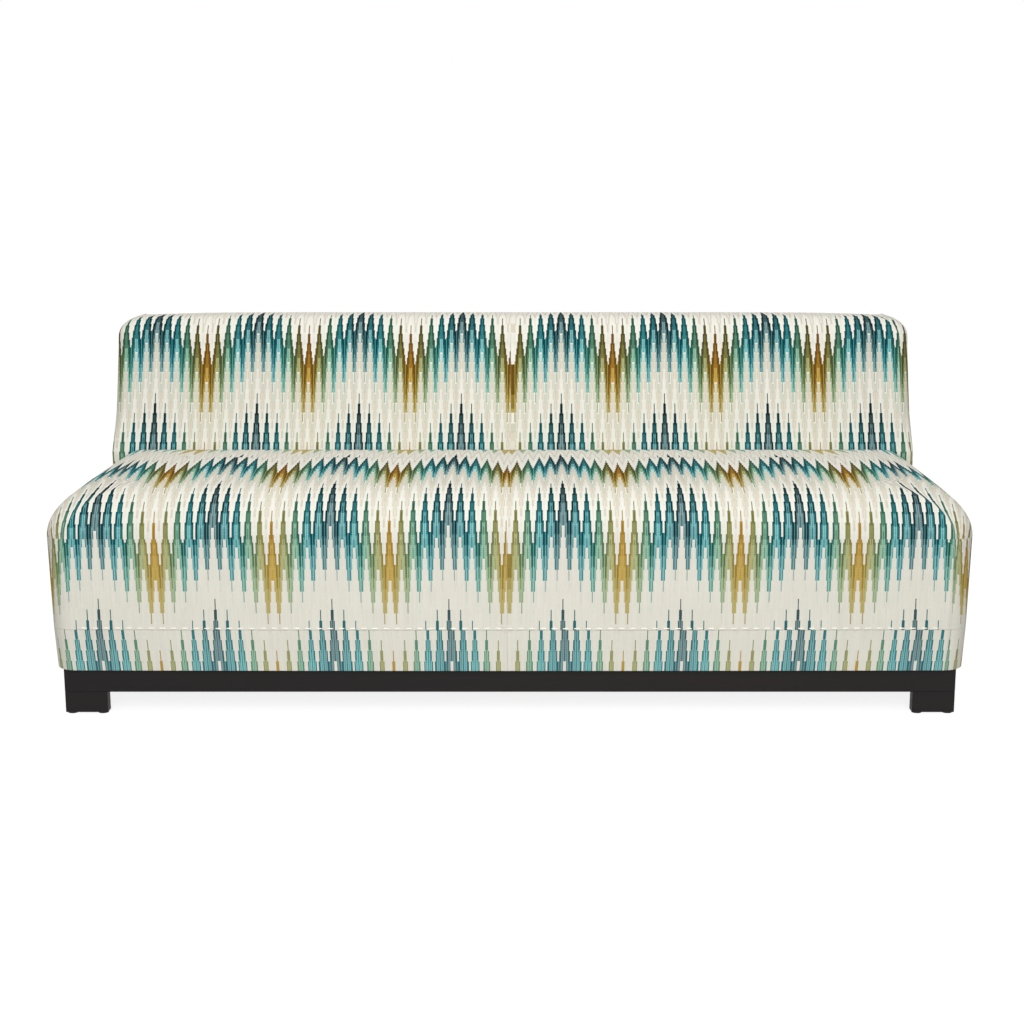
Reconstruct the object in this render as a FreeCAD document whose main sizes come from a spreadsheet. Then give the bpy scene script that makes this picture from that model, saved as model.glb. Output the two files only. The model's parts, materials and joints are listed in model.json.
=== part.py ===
"""An armless sofa: one wide tight seat, a raked tight back and a low dark wood base.

The frame stands on the floor at z = 0, centred on x = 0 and y = 0. The sofa faces -Y.
All lengths are millimetres and all angles are degrees.
"""
import FreeCAD, Part
import math
import os

import Sketcher

doc = FreeCAD.newDocument("armless_sofa")
dims = doc.addObject("Spreadsheet::Sheet", "dims")

# Driving dimensions, each with what it measures
SIZES = [
    ("overall_width", 1992, "across the seat at its widest"),
    ("overall_depth", 880, "front of the seat to the rear of the back at its top"),
    ("overall_height", 803, "floor to the top of the back in its middle"),
    ("clearance", 0.3, "between soft layers and what they cover"),
    ("base_height", 101, "floor to the top of the wood base"),
    ("base_board", 26, "thickness of the base boards and feet"),
    ("base_side_inset", 30, "seat side to base side"),
    ("base_front_inset", 20, "seat front to base front"),
    ("base_rear_inset", 20, "back to base rear, at the base"),
    ("foot_height", 46, "height of a bracket foot"),
    ("foot_width", 92, "length of each wing of a bracket foot"),
    ("glide_thickness", 3, "nail-on glide under a foot"),
    ("glide_radius", 11, "radius of a glide"),
    ("base_block_leg", 50, "legs of the glue blocks inside the base"),
    ("center_leg_width", 45, "square legs under the middle of the base"),
    ("center_leg_spacing", 300, "between the two middle legs, along the depth"),
    ("seam_height", 193, "floor to the seam above the border band"),
    ("border_draw_in", 4, "how far the band is pulled in at its lower edge"),
    ("cover_thickness", 2, "woven cover"),
    ("wadding_thickness", 10, "fibre wadding under the cover"),
    ("side_bow", 3, "bulge of the seat sides"),
    ("side_swell", 4, "how far the seat widens from the seam up to its roll"),
    ("front_bow", 4, "bulge of the seat front"),
    ("back_depth", 268, "foot of the back pad to the rear of the back at its top"),
    ("seat_crest_height", 494, "floor to the top of the front roll"),
    ("seat_crown", 12, "rise of the seat from the front roll to its middle"),
    ("seat_rear_height", 483, "floor to where the seat meets the back"),
    ("front_roll_depth", 126, "how far the front roll reaches back"),
    ("front_roll_height", 102, "height over which the seat edge rolls over"),
    ("side_roll_width", 120, "how far the side roll reaches inward"),
    ("front_corner_radius", 50, "vertical front corners of the seat"),
    ("rear_corner_radius", 18, "vertical rear corners of the band and the back"),
    ("join_corner_radius", 8, "vertical corners where seat and back meet"),
    ("back_side_inset", 5, "seat side to back side"),
    ("back_kink_height", 476, "floor to where the back pad starts to lean"),
    ("back_lean", 20, "lean of the face of the back pad"),
    ("rear_lean", 6.5, "lean of the rear of the back"),
    ("back_bow", 10, "crown of the face of the back pad"),
    ("back_side_bow", 2, "bulge of the sides of the back"),
    ("back_top_roll", 65, "radius of the top front edge of the back"),
    ("back_side_roll", 42, "radius of the top side edges of the back"),
    ("back_rear_roll", 15, "radius of the top rear edge of the back"),
    ("back_crown", 8, "rise of the top of the back to its middle"),
    ("back_corner_radius", 30, "front corners of the back pad"),
    ("cover_return", 14, "width of the outside back that turns round the sides"),
    ("rail_board", 28, "thickness of the frame rails"),
    ("frame_height", 306, "floor to the top of the seat rails"),
    ("spring_rail_height", 50, "rail that carries the rear ends of the springs"),
    ("spring_rail_setback", 8, "foot of the back pad to the spring rail"),
    ("stretcher_offset", 310, "middle of the sofa to a stretcher"),
    ("post_board", 35, "thickness of a back post"),
    ("post_depth", 60, "front to rear of a back post"),
    ("top_rail_height", 46, "rail across the top of the back"),
    ("back_rail_height", 70, "lower and middle rails of the back"),
    ("middle_rail_height", 526, "floor to the middle rail"),
    ("upright_width", 40, "two uprights inside the back"),
    ("block_leg", 70, "legs of the corner blocks in the seat frame"),
    ("block_height", 70, "height of a seat corner block"),
    ("block_rise", 30, "base to the underside of a seat corner block"),
    ("spring_wire", 4, "sinuous spring wire"),
    ("spring_pitch", 30, "from one bar of a spring to the next"),
    ("spring_bar", 30, "straight part of a spring bar"),
    ("spring_spacing", 120, "from one spring to the next"),
    ("clip_thickness", 1.5, "plate under each end of a spring"),
    ("clip_width", 40, "length of a clip plate along the rail"),
    ("tie_wire", 3.5, "wires that tie the springs together"),
    ("tie_spacing", 150, "from one tie wire to the next"),
    ("burlap_thickness", 1, "sheet over the springs and over the webbing"),
    ("core_thickness", 110, "firm foam over the springs"),
    ("webbing_thickness", 1.5, "straps across the back frame"),
    ("webbing_width", 50, "width of a strap"),
    ("webbing_spacing", 125, "from one strap to the next"),
    ("back_board_thickness", 3, "panel behind the back frame"),
    ("back_board_inset", 25, "side of the back to the edge of that panel"),
    ("dust_cover_thickness", 1.2, "sheet under the frame"),
    ("stitch_length", 14, "one stitch above the seam"),
    ("stitch_pitch", 24, "from one stitch to the next"),
    ("stitch_thickness", 1, "how far a stitch stands out"),
    ("stitch_height", 1.4, "height of a stitch"),
    ("stitch_rise", 3, "seam to the row of stitches"),
    ("bolt_radius", 4, "carriage bolts through rail and post"),
    ("bolt_head_radius", 10, "head of a carriage bolt"),
    ("bolt_head_height", 3.5, "head of a carriage bolt"),
    ("bolt_low", 126, "floor to the lower bolt"),
    ("bolt_high", 186, "floor to the upper bolt"),
    ("bolt_setback", 2, "rear rail to the nearer edge of a washer"),
    ("washer_radius", 10, "washer under a nut"),
    ("washer_thickness", 2, "washer under a nut"),
    ("nut_width", 13, "across the flats of a nut"),
    ("nut_height", 7, "height of a nut"),
    ("screw_radius", 2.5, "wood screws in the feet and the base"),
    ("foot_screw_length", 64, "screw up through a foot"),
    ("base_screw_length", 84, "screw up through a base rail"),
    ("base_screw_spacing", 400, "from one base screw to the next"),
    ("screw_recess", 5, "how deep a screw head is sunk"),
]
for row, (alias, number, meaning) in enumerate(SIZES, start=1):
    dims.set(f"A{row}", alias)
    dims.set(f"B{row}", str(number))
    dims.setAlias(f"B{row}", alias)
    dims.set(f"C{row}", meaning)
doc.recompute()


def number(formula):
    """what a formula in the sheet's names comes to"""
    return float(dims.evalExpression(formula))


def size(alias):
    """the number in one named cell"""
    return float(dims.get(alias))


# Places worked out from the sheet, as formulas for the boards
HALF = "dims.overall_width / 2"
SOFT = "(dims.cover_thickness + dims.wadding_thickness + 2 * dims.clearance)"
SEAT_FRONT = "(-dims.overall_depth / 2)"
SHOULDER = "(dims.overall_height - dims.back_crown)"
REAR_AT_BASE = (f"(dims.overall_depth / 2 - ({SHOULDER} - dims.back_rear_roll"
                " - dims.base_height) * tan(dims.rear_lean * 1deg))")
BASE_SIDE = f"({HALF} - dims.base_side_inset)"
BASE_FRONT = f"({SEAT_FRONT} + dims.base_front_inset)"
BASE_REAR = f"({REAR_AT_BASE} - dims.base_rear_inset)"
RAIL_FOOT = "(dims.foot_height + dims.glide_thickness)"
RAIL_DEEP = f"(dims.base_height - {RAIL_FOOT})"
UNDER_SHEET = "(dims.base_height - dims.dust_cover_thickness - 2 * dims.clearance)"
FRAME_SIDE = f"({HALF} - dims.side_swell - dims.side_bow - dims.border_draw_in - {SOFT})"
FRAME_FRONT = f"({SEAT_FRONT} + dims.front_bow + dims.border_draw_in + {SOFT})"
BOARD_STACK = "(dims.cover_thickness + dims.back_board_thickness + 2 * dims.clearance)"
FRAME_REAR = f"({REAR_AT_BASE} - {BOARD_STACK})"
RAIL_TALL = "(dims.frame_height - dims.base_height)"
INNER_SIDE = f"({FRAME_SIDE} - dims.rail_board)"
INNER_FRONT = f"({FRAME_FRONT} + dims.rail_board)"
POST_INNER = f"({INNER_SIDE} - dims.post_board)"
SEAT_DEPTH = "(dims.overall_depth - dims.back_depth)"
SPRING_RAIL_FRONT = f"({SEAT_FRONT} + {SEAT_DEPTH} + dims.spring_rail_setback)"
POST_TOP = f"({SHOULDER} - {SOFT} - dims.back_rear_roll / 3)"
BOLT_Y = f"({FRAME_REAR} - dims.rail_board - dims.washer_radius - dims.bolt_setback)"


def rear_line(height, inset):
    """formula for y at a height, a distance in front of the leaning rear"""
    return (f"(dims.overall_depth / 2 - ({SHOULDER} - dims.back_rear_roll - {height})"
            f" * tan(dims.rear_lean * 1deg) - {inset})")


def board(label, lengths, corner):
    """a rectangular board from formulas for its three lengths and its lowest corner"""
    box = doc.addObject("Part::Box", label)
    for side, formula in zip(("Length", "Width", "Height"), lengths):
        box.setExpression(side, formula)
    for axis, formula in zip("xyz", corner):
        box.setExpression(f"Placement.Base.{axis}", formula)
    return box


def profile(label, plane_role, corners, thickness, start):
    """a padded sketch: corner formulas in the plane, a thickness and where it starts"""
    body = doc.addObject("PartDesign::Body", label)
    sketch = body.newObject("Sketcher::SketchObject", label + "_outline")
    plane = next(p for p in body.Origin.OriginFeatures if p.Role == plane_role)
    sketch.AttachmentSupport = [(plane, "")]
    sketch.MapMode = "FlatFace"
    spots = [FreeCAD.Vector(number(along), number(across), 0) for along, across in corners]
    count = len(corners)
    for i in range(count):
        sketch.addGeometry(Part.LineSegment(spots[i], spots[(i + 1) % count]), False)
    for i in range(count):
        sketch.addConstraint(Sketcher.Constraint("Coincident", i, 2, (i + 1) % count, 1))
    for i, corner in enumerate(corners):
        for kind, formula, place in zip(("DistanceX", "DistanceY"), corner, spots[i]):
            index = sketch.addConstraint(Sketcher.Constraint(kind, -1, 1, i, 1, place))
            sketch.setExpression(f"Constraints[{index}]", formula)
    pad = body.newObject("PartDesign::Pad", label + "_pad")
    pad.Profile = sketch
    pad.setExpression("Length", thickness)
    axis = {"YZ_Plane": "x", "XY_Plane": "z"}[plane_role]
    body.setExpression(f"Placement.Base.{axis}", start)
    return body


def mirrored(label, source):
    """the matching piece on the other side of the middle"""
    copy = doc.addObject("Part::Mirroring", label)
    copy.Source = source
    copy.Normal = FreeCAD.Vector(1, 0, 0)
    return copy


def group(label, members):
    """several like pieces that share one node"""
    compound = doc.addObject("Part::Compound", label)
    compound.Links = members
    return compound


def rod(label, radius, length, place, axis=FreeCAD.Vector(0, 0, 1)):
    """a round bar from formulas for its radius, length and the middle of its first end"""
    cylinder = doc.addObject("Part::Cylinder", label)
    cylinder.setExpression("Radius", radius)
    cylinder.setExpression("Height", length)
    cylinder.Placement.Rotation = FreeCAD.Rotation(FreeCAD.Vector(0, 0, 1), axis)
    for letter, formula in zip("xyz", place):
        cylinder.setExpression(f"Placement.Base.{letter}", formula)
    return cylinder


def drilled(label, blank, waste):
    """a piece with its holes or corners cut out"""
    cut = doc.addObject("Part::Cut", label)
    cut.Base = blank
    cut.Tool = waste
    return cut


def solid_feature(label, shape):
    """a piece whose shape is worked out in code, from sizes in the sheet"""
    feature = doc.addObject("Part::Feature", label)
    feature.Shape = shape
    feature.Placement = FreeCAD.Placement()
    return feature


nodes = []


def keep(*pieces):
    """lists the finished pieces of the sofa"""
    nodes.extend(pieces)


# Screws first, because the boards are drilled for them

def screws_and_holes(label, places, foot, length):
    """upright screws sunk into the underside of a piece, and the holes drilled for them"""
    screws, holes = [], []
    for i, (x, y) in enumerate(places, start=1):
        screws.append(rod(f"{label}_screw_{i}", "dims.screw_radius", length,
                          (x, y, f"{foot} + dims.screw_recess")))
        holes.append(rod(f"{label}_hole_{i}", "dims.screw_radius + dims.clearance",
                         f"{length} + dims.screw_recess", (x, y, foot)))
    return group(f"{label}_screws", screws), group(f"{label}_holes", holes)


foot_screw_places = []
for side in ("-", ""):
    for front_edge, inward in ((BASE_FRONT, "+"), (BASE_REAR, "-")):
        wing = "(dims.foot_width * 2 / 3)"
        foot_screw_places.append((f"{side}({BASE_SIDE} - {wing})",
                                  f"{front_edge} {inward} dims.base_board / 2"))
        foot_screw_places.append((f"{side}({BASE_SIDE} - dims.base_board / 2)",
                                  f"{front_edge} {inward} {wing}"))
foot_screws, foot_holes = screws_and_holes("foot", foot_screw_places,
                                           "dims.glide_thickness", "dims.foot_screw_length")

base_screw_places = []
for step in (-2, -1, 0, 1, 2):
    for edge in (f"{INNER_FRONT} - dims.rail_board / 2 + dims.border_draw_in",
                 f"{BASE_REAR} - dims.base_board / 2"):
        base_screw_places.append((f"{step} * dims.base_screw_spacing", edge))
base_screws, base_holes = screws_and_holes("base", base_screw_places, RAIL_FOOT,
                                           "dims.base_screw_length")
all_holes = group("base_and_foot_holes", [foot_holes, base_holes])

# Wood base: four rails, four bracket feet, glue blocks, a middle beam and its legs
BASE_LONG = f"2 * {BASE_SIDE}"
BASE_INSIDE = f"({BASE_REAR} - {BASE_FRONT} - 2 * dims.base_board)"
front_base_rail = drilled("front_base_rail", board(
    "front_base_blank", (BASE_LONG, "dims.base_board", RAIL_DEEP),
    (f"-{BASE_SIDE}", BASE_FRONT, RAIL_FOOT)), all_holes)
rear_base_rail = drilled("rear_base_rail", board(
    "rear_base_blank", (BASE_LONG, "dims.base_board", RAIL_DEEP),
    (f"-{BASE_SIDE}", f"{BASE_REAR} - dims.base_board", RAIL_FOOT)), all_holes)
right_base_rail = drilled("right_base_rail", board(
    "right_base_blank", ("dims.base_board", BASE_INSIDE, RAIL_DEEP),
    (f"{BASE_SIDE} - dims.base_board", f"{BASE_FRONT} + dims.base_board", RAIL_FOOT)),
    foot_holes)
left_base_rail = mirrored("left_base_rail", right_base_rail)
keep(front_base_rail, rear_base_rail, left_base_rail, right_base_rail)


def bracket_foot(label, edge, inward):
    """an L of two boards under a corner of the base, flush with its outside"""
    outer = BASE_SIDE
    corners = [(outer, edge),
               (outer, f"{edge} {inward} dims.foot_width"),
               (f"{outer} - dims.base_board", f"{edge} {inward} dims.foot_width"),
               (f"{outer} - dims.base_board", f"{edge} {inward} dims.base_board"),
               (f"{outer} - dims.foot_width", f"{edge} {inward} dims.base_board"),
               (f"{outer} - dims.foot_width", edge)]
    blank = profile(label + "_blank", "XY_Plane", corners, "dims.foot_height",
                    "dims.glide_thickness")
    return drilled(label, blank, foot_holes)


front_right_foot = bracket_foot("front_right_foot", BASE_FRONT, "+")
rear_right_foot = bracket_foot("rear_right_foot", BASE_REAR, "-")
keep(front_right_foot, mirrored("front_left_foot", front_right_foot),
     rear_right_foot, mirrored("rear_left_foot", rear_right_foot))

block_corners = []
for edge, inward in ((f"({BASE_FRONT} + dims.base_board)", "+"),
                     (f"({BASE_REAR} - dims.base_board)", "-")):
    side_face = f"({BASE_SIDE} - dims.base_board)"
    block_corners.append([(side_face, edge),
                          (side_face, f"{edge} {inward} dims.base_block_leg"),
                          (f"{side_face} - dims.base_block_leg", edge)])
base_blocks = [profile(f"base_block_{i}", "XY_Plane", corners,
                       f"{UNDER_SHEET} - {RAIL_FOOT}", RAIL_FOOT)
               for i, corners in enumerate(block_corners, start=1)]
base_blocks += [mirrored(f"{block.Label}_left", block) for block in base_blocks]
keep(group("base_corner_blocks", base_blocks))

center_beam = board("center_beam", ("dims.base_board", BASE_INSIDE,
                                    f"{UNDER_SHEET} - {RAIL_FOOT}"),
                    ("-dims.base_board / 2", f"{BASE_FRONT} + dims.base_board", RAIL_FOOT))
keep(center_beam)
BASE_MIDDLE = f"(({BASE_FRONT} + {BASE_REAR}) / 2)"
center_leg_places = []
for label, side in (("center_front_leg", "-"), ("center_rear_leg", "+")):
    middle = f"({BASE_MIDDLE} {side} dims.center_leg_spacing / 2)"
    center_leg_places.append(middle)
    keep(board(label, ("dims.center_leg_width", "dims.center_leg_width",
                       "dims.foot_height"),
               ("-dims.center_leg_width / 2", f"{middle} - dims.center_leg_width / 2",
                "dims.glide_thickness")))

glide_places = [("0", middle, "0") for middle in center_leg_places]
for side in ("-", ""):
    for edge, inward in ((BASE_FRONT, "+"), (BASE_REAR, "-")):
        glide_places.append((f"{side}({BASE_SIDE} - dims.base_board / 2)",
                             f"{edge} {inward} dims.base_board / 2", "0"))
        glide_places.append((f"{side}({BASE_SIDE} - dims.foot_width + dims.base_board / 2)",
                             f"{edge} {inward} dims.base_board / 2", "0"))
glides = [rod(f"glide_{i}", "dims.glide_radius", "dims.glide_thickness", place)
          for i, place in enumerate(glide_places, start=1)]
keep(group("foot_glides", glides), foot_screws, base_screws)

# Bolts that hold each back post to its side rail
AXIS_X = FreeCAD.Vector(1, 0, 0)
shanks, heads, washers, nuts, bolt_bores = [], [], [], [], []
head_start = f"({FRAME_SIDE} - dims.bolt_head_height)"
tail = f"({POST_INNER} - dims.washer_thickness - dims.nut_height - 2 * dims.clearance)"
for i, height in enumerate(("dims.bolt_low", "dims.bolt_high"), start=1):
    shanks.append(rod(f"bolt_shank_{i}", "dims.bolt_radius", f"{head_start} - {tail}",
                      (tail, BOLT_Y, height), AXIS_X))
    heads.append(rod(f"bolt_head_{i}", "dims.bolt_head_radius", "dims.bolt_head_height",
                     (head_start, BOLT_Y, height), AXIS_X))
    bolt_bores.append(rod(f"bolt_hole_{i}", "dims.bolt_radius + dims.clearance",
                           f"{FRAME_SIDE} - {tail}", (tail, BOLT_Y, height), AXIS_X))
    bolt_bores.append(rod(f"head_recess_{i}", "dims.bolt_head_radius + dims.clearance",
                           "dims.bolt_head_height + dims.clearance",
                           (head_start, BOLT_Y, height), AXIS_X))
    washer = rod(f"washer_{i}", "dims.washer_radius", "dims.washer_thickness",
                 (f"{POST_INNER} - dims.washer_thickness", BOLT_Y, height), AXIS_X)
    washers.append(washer)
    nut = doc.addObject("Part::Prism", f"nut_{i}")
    nut.Polygon = 6
    nut.setExpression("Circumradius", "dims.nut_width / sqrt(3)")
    nut.setExpression("Height", "dims.nut_height")
    nut.Placement.Rotation = FreeCAD.Rotation(FreeCAD.Vector(0, 0, 1), AXIS_X)
    nut.setExpression("Placement.Base.x",
                      f"{POST_INNER} - dims.washer_thickness - dims.nut_height")
    nut.setExpression("Placement.Base.y", BOLT_Y)
    nut.setExpression("Placement.Base.z", height)
    nuts.append(nut)
bolt_holes = group("bolt_holes", bolt_bores)


def both_sides(label, members, holes=None):
    """the pieces on the right with their copies on the left"""
    right = group(label + "_right", members)
    if holes:
        right = drilled(label + "_right_drilled", right, holes)
    return group(label, [right, mirrored(label + "_left", right)])


bolts = []
for shank, head in zip(shanks, heads):
    bolt = doc.addObject("Part::Fuse", shank.Label + "_with_head")
    bolt.Base = head
    bolt.Tool = shank
    bolts.append(bolt)
keep(both_sides("post_bolts", bolts), both_sides("post_washers", washers, bolt_holes),
     both_sides("post_nuts", nuts, bolt_holes))

# Seat frame
INSIDE_LONG = f"({FRAME_REAR} - {INNER_FRONT})"
CORNER = f"(dims.front_corner_radius - {SOFT} + dims.border_draw_in)"
# what a router takes off the front corners of the rails, so that they follow the cover
corner_waste = drilled("corner_waste", board(
    "corner_square", (f"2 * {CORNER}", f"2 * {CORNER}", "dims.frame_height"),
    (f"{FRAME_SIDE} - {CORNER}", f"{FRAME_FRONT} - {CORNER}", "0")),
    rod("corner_round", CORNER, "dims.frame_height",
        (f"{FRAME_SIDE} - {CORNER}", f"{FRAME_FRONT} + {CORNER}", "0")))
front_corners = group("front_corners", [corner_waste, mirrored("left_waste", corner_waste),
                                        base_holes])
keep(drilled("front_seat_rail", board(
    "front_seat_blank", (f"2 * {FRAME_SIDE}", "dims.rail_board", RAIL_TALL),
    (f"-{FRAME_SIDE}", FRAME_FRONT, "dims.base_height")), front_corners))
keep(drilled("rear_seat_rail", board(
    "rear_seat_blank", (f"2 * {POST_INNER}", "dims.rail_board", RAIL_TALL),
    (f"-{POST_INNER}", f"{FRAME_REAR} - dims.rail_board", "dims.base_height")), base_holes))
right_seat_rail = drilled("right_seat_rail", board(
    "right_seat_blank", ("dims.rail_board", INSIDE_LONG, RAIL_TALL),
    (INNER_SIDE, INNER_FRONT, "dims.base_height")), group(
        "side_rail_cuts", [bolt_holes, corner_waste]))
keep(right_seat_rail, mirrored("left_seat_rail", right_seat_rail))
keep(board("spring_rail", (f"2 * {INNER_SIDE}", "dims.rail_board", "dims.spring_rail_height"),
           (f"-{INNER_SIDE}", SPRING_RAIL_FRONT,
            "dims.frame_height - dims.spring_rail_height")))
right_stretcher = board("right_stretcher", (
    "dims.rail_board", f"{INSIDE_LONG} - dims.rail_board",
    f"{RAIL_TALL} - dims.spring_rail_height"),
    ("dims.stretcher_offset - dims.rail_board / 2", INNER_FRONT, "dims.base_height"))
keep(right_stretcher, mirrored("left_stretcher", right_stretcher))

# Glued corner blocks of the seat frame, two in front and two between stretchers and rear rail
REAR_FACE = f"({FRAME_REAR} - dims.rail_board)"
front_block = profile("front_block", "XY_Plane", [
    (INNER_SIDE, INNER_FRONT), (INNER_SIDE, f"{INNER_FRONT} + dims.block_leg"),
    (f"{INNER_SIDE} - dims.block_leg", INNER_FRONT)],
    "dims.block_height", "dims.base_height + dims.block_rise")
rear_block = profile("rear_block", "XY_Plane", [
    ("dims.stretcher_offset + dims.rail_board / 2", REAR_FACE),
    ("dims.stretcher_offset + dims.rail_board / 2", f"{REAR_FACE} - dims.block_leg"),
    ("dims.stretcher_offset + dims.rail_board / 2 + dims.block_leg", REAR_FACE)],
    "dims.block_height", "dims.base_height + dims.block_rise")
keep(group("seat_corner_blocks", [front_block, mirrored("front_block_left", front_block),
                                  rear_block, mirrored("rear_block_left", rear_block)]))

# Frame of the back: posts, cheeks at the sides, three cross rails and two uprights


def leaning(low, high, near, far):
    """corners in side view between two heights and two distances from the rear"""
    return [(rear_line(low, far), low), (rear_line(low, near), low),
            (rear_line(high, near), high), (rear_line(high, far), high)]


POST_REAR = BOARD_STACK
POST_FRONT = f"({BOARD_STACK} + dims.post_depth)"
right_post = drilled("right_post", profile(
    "post_blank", "YZ_Plane", leaning("dims.base_height", POST_TOP, POST_REAR, POST_FRONT),
    "dims.post_board", POST_INNER), bolt_holes)
keep(right_post, mirrored("left_post", right_post))
CHEEK_TOP = f"({SHOULDER} - dims.back_side_roll - {SOFT})"
CHEEK_SIDE = (f"({HALF} - dims.back_side_inset - dims.back_side_bow - {SOFT}"
              " - dims.clearance)")
right_cheek = profile("right_cheek", "YZ_Plane",
                      leaning("dims.frame_height", CHEEK_TOP, POST_REAR, POST_FRONT),
                      f"{CHEEK_SIDE} - {INNER_SIDE}", INNER_SIDE)
keep(right_cheek, mirrored("left_cheek", right_cheek))
TOP_RAIL_LOW = f"({POST_TOP} - dims.top_rail_height)"
LOWER_RAIL_TOP = "(dims.frame_height + dims.back_rail_height)"
RAIL_REAR = f"({POST_FRONT} - dims.rail_board)"
keep(profile("back_top_rail", "YZ_Plane",
             leaning(TOP_RAIL_LOW, POST_TOP, POST_REAR, POST_FRONT),
             f"2 * {POST_INNER}", f"-{POST_INNER}"))
keep(profile("back_lower_rail", "YZ_Plane",
             leaning("dims.frame_height", LOWER_RAIL_TOP, RAIL_REAR, POST_FRONT),
             f"2 * {POST_INNER}", f"-{POST_INNER}"))
right_upright = profile("right_upright", "YZ_Plane",
                        leaning(LOWER_RAIL_TOP, TOP_RAIL_LOW, RAIL_REAR, POST_FRONT),
                        "dims.upright_width", "dims.stretcher_offset - dims.upright_width / 2")
keep(right_upright, mirrored("left_upright", right_upright))
MIDDLE_TOP = "(dims.middle_rail_height + dims.back_rail_height)"
middle_corners = leaning("dims.middle_rail_height", MIDDLE_TOP, RAIL_REAR, POST_FRONT)
UPRIGHT_INNER = "(dims.stretcher_offset - dims.upright_width / 2)"
UPRIGHT_OUTER = "(dims.stretcher_offset + dims.upright_width / 2)"
keep(profile("back_middle_rail", "YZ_Plane", middle_corners,
             f"2 * {UPRIGHT_INNER}", f"-{UPRIGHT_INNER}"))
side_rail = profile("right_side_middle_rail", "YZ_Plane", middle_corners,
                    f"{POST_INNER} - {UPRIGHT_OUTER}", UPRIGHT_OUTER)
keep(group("back_side_middle_rails", [side_rail, mirrored("left_side_middle_rail", side_rail)]))

# Straps, sheet and panel of the back
STRAP_REAR = POST_FRONT
STRAP_FRONT = f"({POST_FRONT} + dims.webbing_thickness)"
STRAP_LOW = f"({LOWER_RAIL_TOP} - dims.back_rail_height / 2)"
STRAP_TOP = f"({POST_TOP} - dims.top_rail_height / 3)"
strap_corners = leaning(STRAP_LOW, STRAP_TOP, STRAP_REAR, STRAP_FRONT)
strap_room = number(POST_INNER) - size("webbing_width") / 2
strap_count = int(strap_room / size("webbing_spacing"))
straps = [profile(f"strap_{i}", "YZ_Plane", strap_corners, "dims.webbing_width",
                  f"{i - strap_count - 1} * dims.webbing_spacing - dims.webbing_width / 2")
          for i in range(1, 2 * strap_count + 2)]
keep(group("back_webbing", straps))
SHEET_REAR = f"({STRAP_FRONT} + dims.clearance)"
SHEET_FRONT = f"({SHEET_REAR} + dims.burlap_thickness)"
keep(profile("back_burlap", "YZ_Plane",
             leaning(f"({LOWER_RAIL_TOP} - dims.back_rail_height * 2 / 3)",
                     f"({POST_TOP} - dims.top_rail_height / 4)", SHEET_REAR, SHEET_FRONT),
             f"2 * {INNER_SIDE}", f"-{INNER_SIDE}"))
BOARD_SIDE = f"({HALF} - dims.back_side_inset - dims.back_board_inset)"
BOARD_REAR = "(dims.cover_thickness + dims.clearance)"
keep(profile("outside_back_board", "YZ_Plane",
             leaning("(dims.base_height + dims.border_draw_in)",
                     f"({POST_TOP} - dims.back_rear_roll)", BOARD_REAR,
                     f"({BOARD_REAR} + dims.back_board_thickness)"),
             f"2 * {BOARD_SIDE}", f"-{BOARD_SIDE}"))


# Seat springs: each is one wire bent to and fro, from the front rail to the spring rail


def sinuous_spring(bars, pitch, straight, wire):
    """the wire runs across, turns half round and runs back; both its edges are drawn"""
    half = straight / 2
    point = FreeCAD.Vector
    edges = {"right": [], "left": []}
    for i in range(bars):
        y = i * pitch
        side = 1 if i % 2 == 0 else -1
        for name, away in (("right", -side), ("left", side)):
            level = y + away * wire / 2
            edges[name].append(Part.LineSegment(point(-side * half, level, 0),
                                                point(side * half, level, 0)).toShape())
            if i + 1 < bars:
                middle = y + pitch / 2
                radius = pitch / 2 - away * wire / 2
                turn = Part.Arc(point(side * half, middle - radius, 0),
                                point(side * (half + radius), middle, 0),
                                point(side * half, middle + radius, 0))
                edges[name].append(turn.toShape())
    first = Part.makeLine(point(-half, -wire / 2, 0), point(-half, wire / 2, 0))
    last = 1 if bars % 2 == 1 else -1
    top = (bars - 1) * pitch
    end = Part.makeLine(point(last * half, top - wire / 2, 0),
                        point(last * half, top + wire / 2, 0))
    outline = Part.Wire(Part.__sortEdges__(edges["right"] + [end] + edges["left"] + [first]))
    return Part.Face(outline).extrude(point(0, 0, wire))


clip_depth = "(dims.rail_board * 3 / 4)"
SPRING_START = f"({INNER_FRONT} - dims.rail_board / 2)"
SPRING_END = f"({SPRING_RAIL_FRONT} + dims.rail_board / 2)"
spring_span = number(f"{SPRING_END} - {SPRING_START}")
bar_count = round(spring_span / size("spring_pitch")) + 1
one_spring = sinuous_spring(bar_count, spring_span / (bar_count - 1), size("spring_bar"),
                            size("spring_wire"))
spring_reach = size("spring_bar") + size("spring_pitch") + size("spring_wire")
springs_each_side = int((number(INNER_SIDE) - spring_reach) / size("spring_spacing"))
springs, clips = [], []
for step in range(-springs_each_side, springs_each_side + 1):
    spring = one_spring.copy()
    spring.translate(FreeCAD.Vector(step * size("spring_spacing"), number(SPRING_START),
                                    size("frame_height") + size("clip_thickness")))
    springs.append(spring)
    for middle in (SPRING_START, SPRING_END):
        clips.append(board(f"clip_{len(clips) + 1}",
                           ("dims.clip_width", clip_depth, "dims.clip_thickness"),
                           (f"{step} * dims.spring_spacing - dims.clip_width / 2",
                            f"{middle} - {clip_depth} / 2", "dims.frame_height")))
keep(solid_feature("sinuous_springs", Part.makeCompound(springs)),
     group("spring_clips", clips))

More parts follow.
